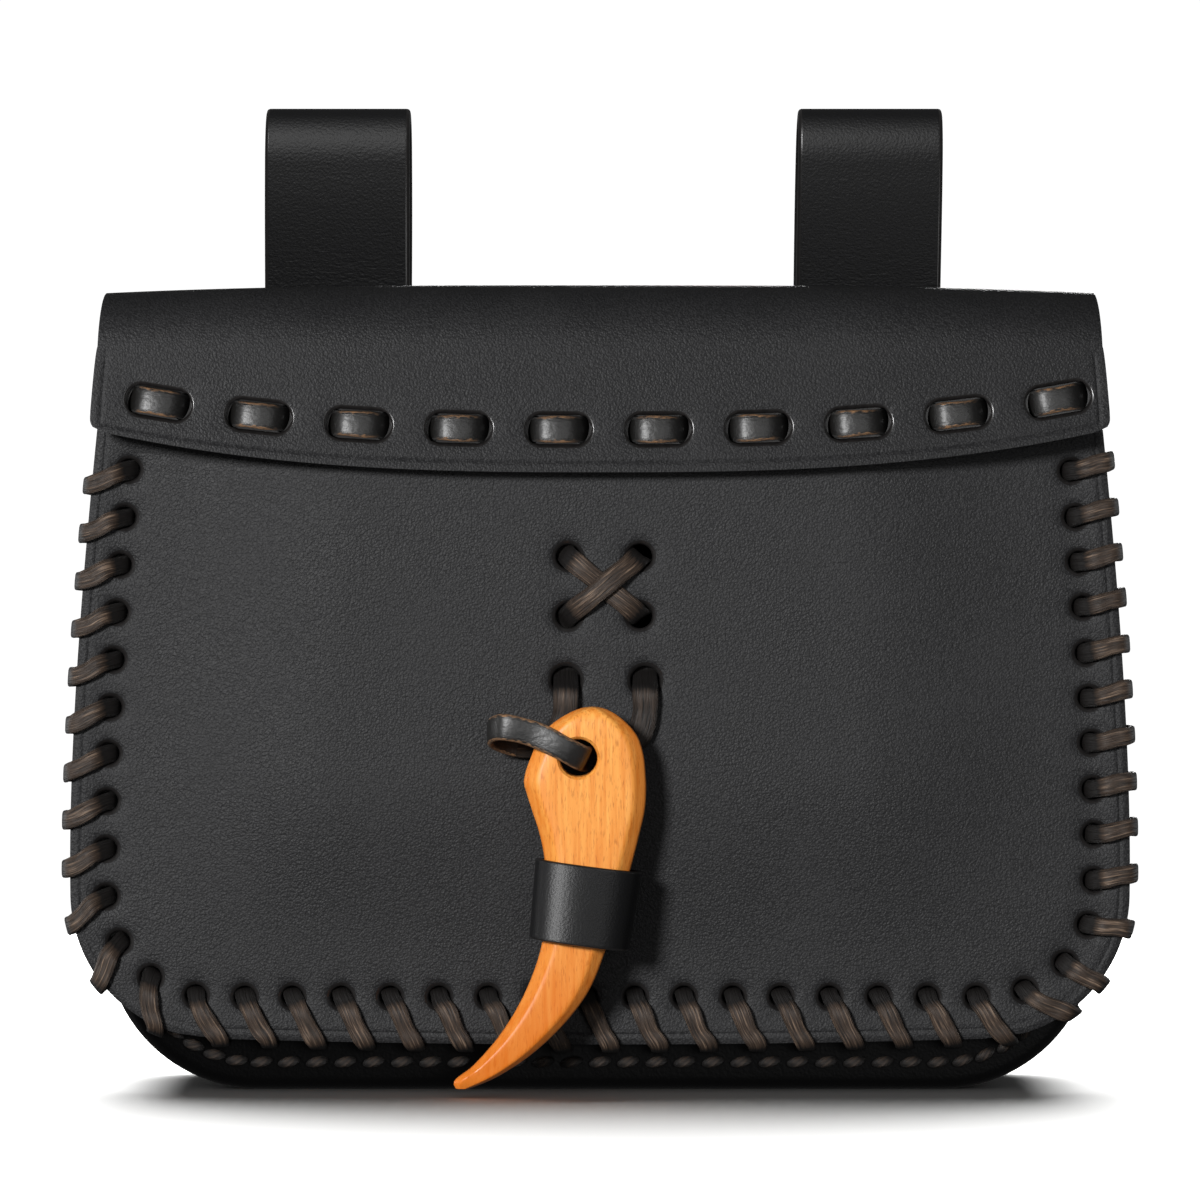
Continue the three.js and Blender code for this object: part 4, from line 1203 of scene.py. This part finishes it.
def toggle_section(left, right, thick):
    """Points round a section: flat face and back, chamfers, and softly rounded corners."""
    chamfer = TOGGLE_CHAMFER * thick
    slant = min(chamfer * TOGGLE_CHAMFER_SLANT, (right - left) * TOGGLE_SLANT_MOST)
    half = thick / 2
    corners = (
        (left, half - chamfer), (left, chamfer - half), (left + slant, -half), (right - slant, -half),
        (right, chamfer - half), (right, half - chamfer), (right - slant, half), (left + slant, half),
    )
    points = []
    for before, corner, after in zip((corners[-1], *corners[:-1]), corners, (*corners[1:], corners[0])):
        inward = ((before[0] + after[0]) / 2, (before[1] + after[1]) / 2)
        for near, share in (
            *[(before, share) for share in TOGGLE_CORNER_STEPS], (inward, TOGGLE_CORNER_CUT),
            *[(after, share) for share in TOGGLE_CORNER_STEPS[::-1]],
        ):
            points.append((mix(corner[0], near[0], share), mix(corner[1], near[1], share)))
    return points + points[:1]


def toggle_point(column, row):
    """A point of the tusk's surface."""
    middle, thick, z, left, right = toggle_rows[row]
    x, y = toggle_section(left, right, thick)[column]
    return placed(x, TOGGLE_MIDDLE + y, z)


toggle = laid_grid("beech_toggle", range(TOGGLE_SIDES + 1), range(len(toggle_rows)), toggle_point)
weld(toggle)
drill = punch(TOGGLE_HOLE_RADIUS, TOGGLE_HOLE_RADIUS, TOGGLE_HOLE_FLARE, TOGGLE_HOLE_DEPTH)
drilled = placed(TOGGLE_HOLE_X, TOGGLE_FACE + TOGGLE_HOLE_SET_BACK, TOGGLE_HOLE_Z)
cut(toggle, copied(drill, [Matrix.Translation(drilled)]))
smooth(toggle, degrees=30)
toward_side = toggle.data.attributes.new("toward_side", "FLOAT", "POINT")
for point in toggle.data.vertices:
    x, y, z = (point.co - placed(0, 0, 0)) / MM
    middle, thick, level, left, right = min(toggle_rows, key=lambda row: abs(row[2] - z))
    toward_side.data[point.index].value = abs(x - middle) / max((right - left) / 2, 0.1)

# Stained beech under lacquer: warm orange, fine grain lines along the tusk, short dark rays across
# them, a deeper stain where the chamfers and the tail drank more of it, and a clear shine.
beech, add = new_material("stained_lacquered_beech")
spot = add("TexCoord", {}, "Object")
figure = []
for width, length, detail in (WOOD_LINE, WOOD_RAY):
    turned = add("Mapping", {
        "Vector": spot, "Rotation": (0, math.radians(WOOD_TILT), 0),
        "Scale": (1 / (width * MM), 1 / (width * MM), 1 / (length * MM)),
    })
    figure.append(add("TexNoise", {"Vector": turned, "Scale": 1.0, "Detail": detail}))
grain, rays = figure
tone = add("ValToRGB", {"Fac": grain}, stops=((0.3, WOOD_ORANGE), (0.7, WOOD_PALE)))
marks = add("MapRange", {"Value": rays, "From Min": 0.54, "From Max": 0.7, "To Min": 0.0, "To Max": 0.5})
marked = add("Mix", {0: marks, 6: tone, 7: linear(WOOD_DARK)}, 2, data_type="RGBA")
aside = add("Attribute", {}, "Fac", attribute_name="toward_side")
aside = add("MapRange", {"Value": aside, "From Min": 0.6, "From Max": 1.0, "To Min": 0.0, "To Max": 0.5})
height = add("SeparateXYZ", {"Vector": spot}, "Z")
tail = add("MapRange", {
    "Value": height, "From Min": WOOD_TAIL_HIGH * MM, "From Max": WOOD_TAIL_LOW * MM,
    "To Min": 0.0, "To Max": 0.75,
})
stain = add("Math", {0: aside, 1: tail}, operation="MAXIMUM")
colour = add("Mix", {0: stain, 6: marked, 7: linear(WOOD_RIM)}, 2, data_type="RGBA")
relief = add("Bump", {"Height": rays, "Strength": 0.3, "Distance": 0.1 * MM})
surface = add("BsdfPrincipled", {
    "Base Color": colour, "Roughness": 0.4, "Specular IOR Level": 0.3, "Coat Weight": 0.1,
    "Coat Roughness": 0.15, "Normal": relief,
})
add("OutputMaterial", {"Surface": surface})
toggle.data.materials.clear()
toggle.data.materials.append(beech)
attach(toggle, "hanging_toggle")
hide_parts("toggle")

# Toggle sleeve: a short tube of thin cowhide pushed up the tusk, a little askew, with burnished rims.
# Its lower and upper rims are each given by their middle, height and half width.
SLEEVE_THICKNESS = 1.3
SLEEVE_SLOPE = -0.13
SLEEVE_DEPTH_HALF = 6.6
SLEEVE_ROUNDNESS = 2.3
SLEEVE_UPPER = (-2.1, 43.4, 9.9)
SLEEVE_LOWER = (-3.9, 28.6, 9.3)
SLEEVE_BLACK = "#0D0D0E"
SLEEVE_WORN = "#161617"
SLEEVE_PORE = 0.4
SLEEVE_SIDES = 96
SLEEVE_LEVELS = 22


def sleeve_point(column, row):
    """A point of the tube's outer face, from its lower rim up."""
    turn = column / SLEEVE_SIDES * 2 * math.pi
    x, z, half = (mix(low, high, row / SLEEVE_LEVELS) for low, high in zip(SLEEVE_LOWER, SLEEVE_UPPER))
    across = half * squarer(math.cos(turn), 2 / SLEEVE_ROUNDNESS)
    out = SLEEVE_DEPTH_HALF * squarer(math.sin(turn), 2 / SLEEVE_ROUNDNESS)
    return placed(x + across, TOGGLE_MIDDLE + out, z + SLEEVE_SLOPE * across)


sleeve = laid_grid("leather_toggle_sleeve", range(SLEEVE_SIDES + 1), range(SLEEVE_LEVELS + 1), sleeve_point)
weld(sleeve, fill_ends=False)

# Sleeve leather: thin hide pressed smooth, with fine pores and a satin shine along its bend.
sleeve_leather = fibre_material(
    "satin_sleeve_leather", 1 / (SLEEVE_PORE * MM), 3, SLEEVE_BLACK, SLEEVE_WORN,
    strength=0.4, depth=0.15, roughness=0.42, specular=0.3,
)
leather_wall(sleeve, sleeve_leather, SLEEVE_THICKNESS, edge_round=0.35)
smooth(sleeve)
light_group("lit_low", sleeve)
light_group("lit_by_key", sleeve, "EXCLUDE")
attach(sleeve, "hanging_toggle")
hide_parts("toggle_sleeve")
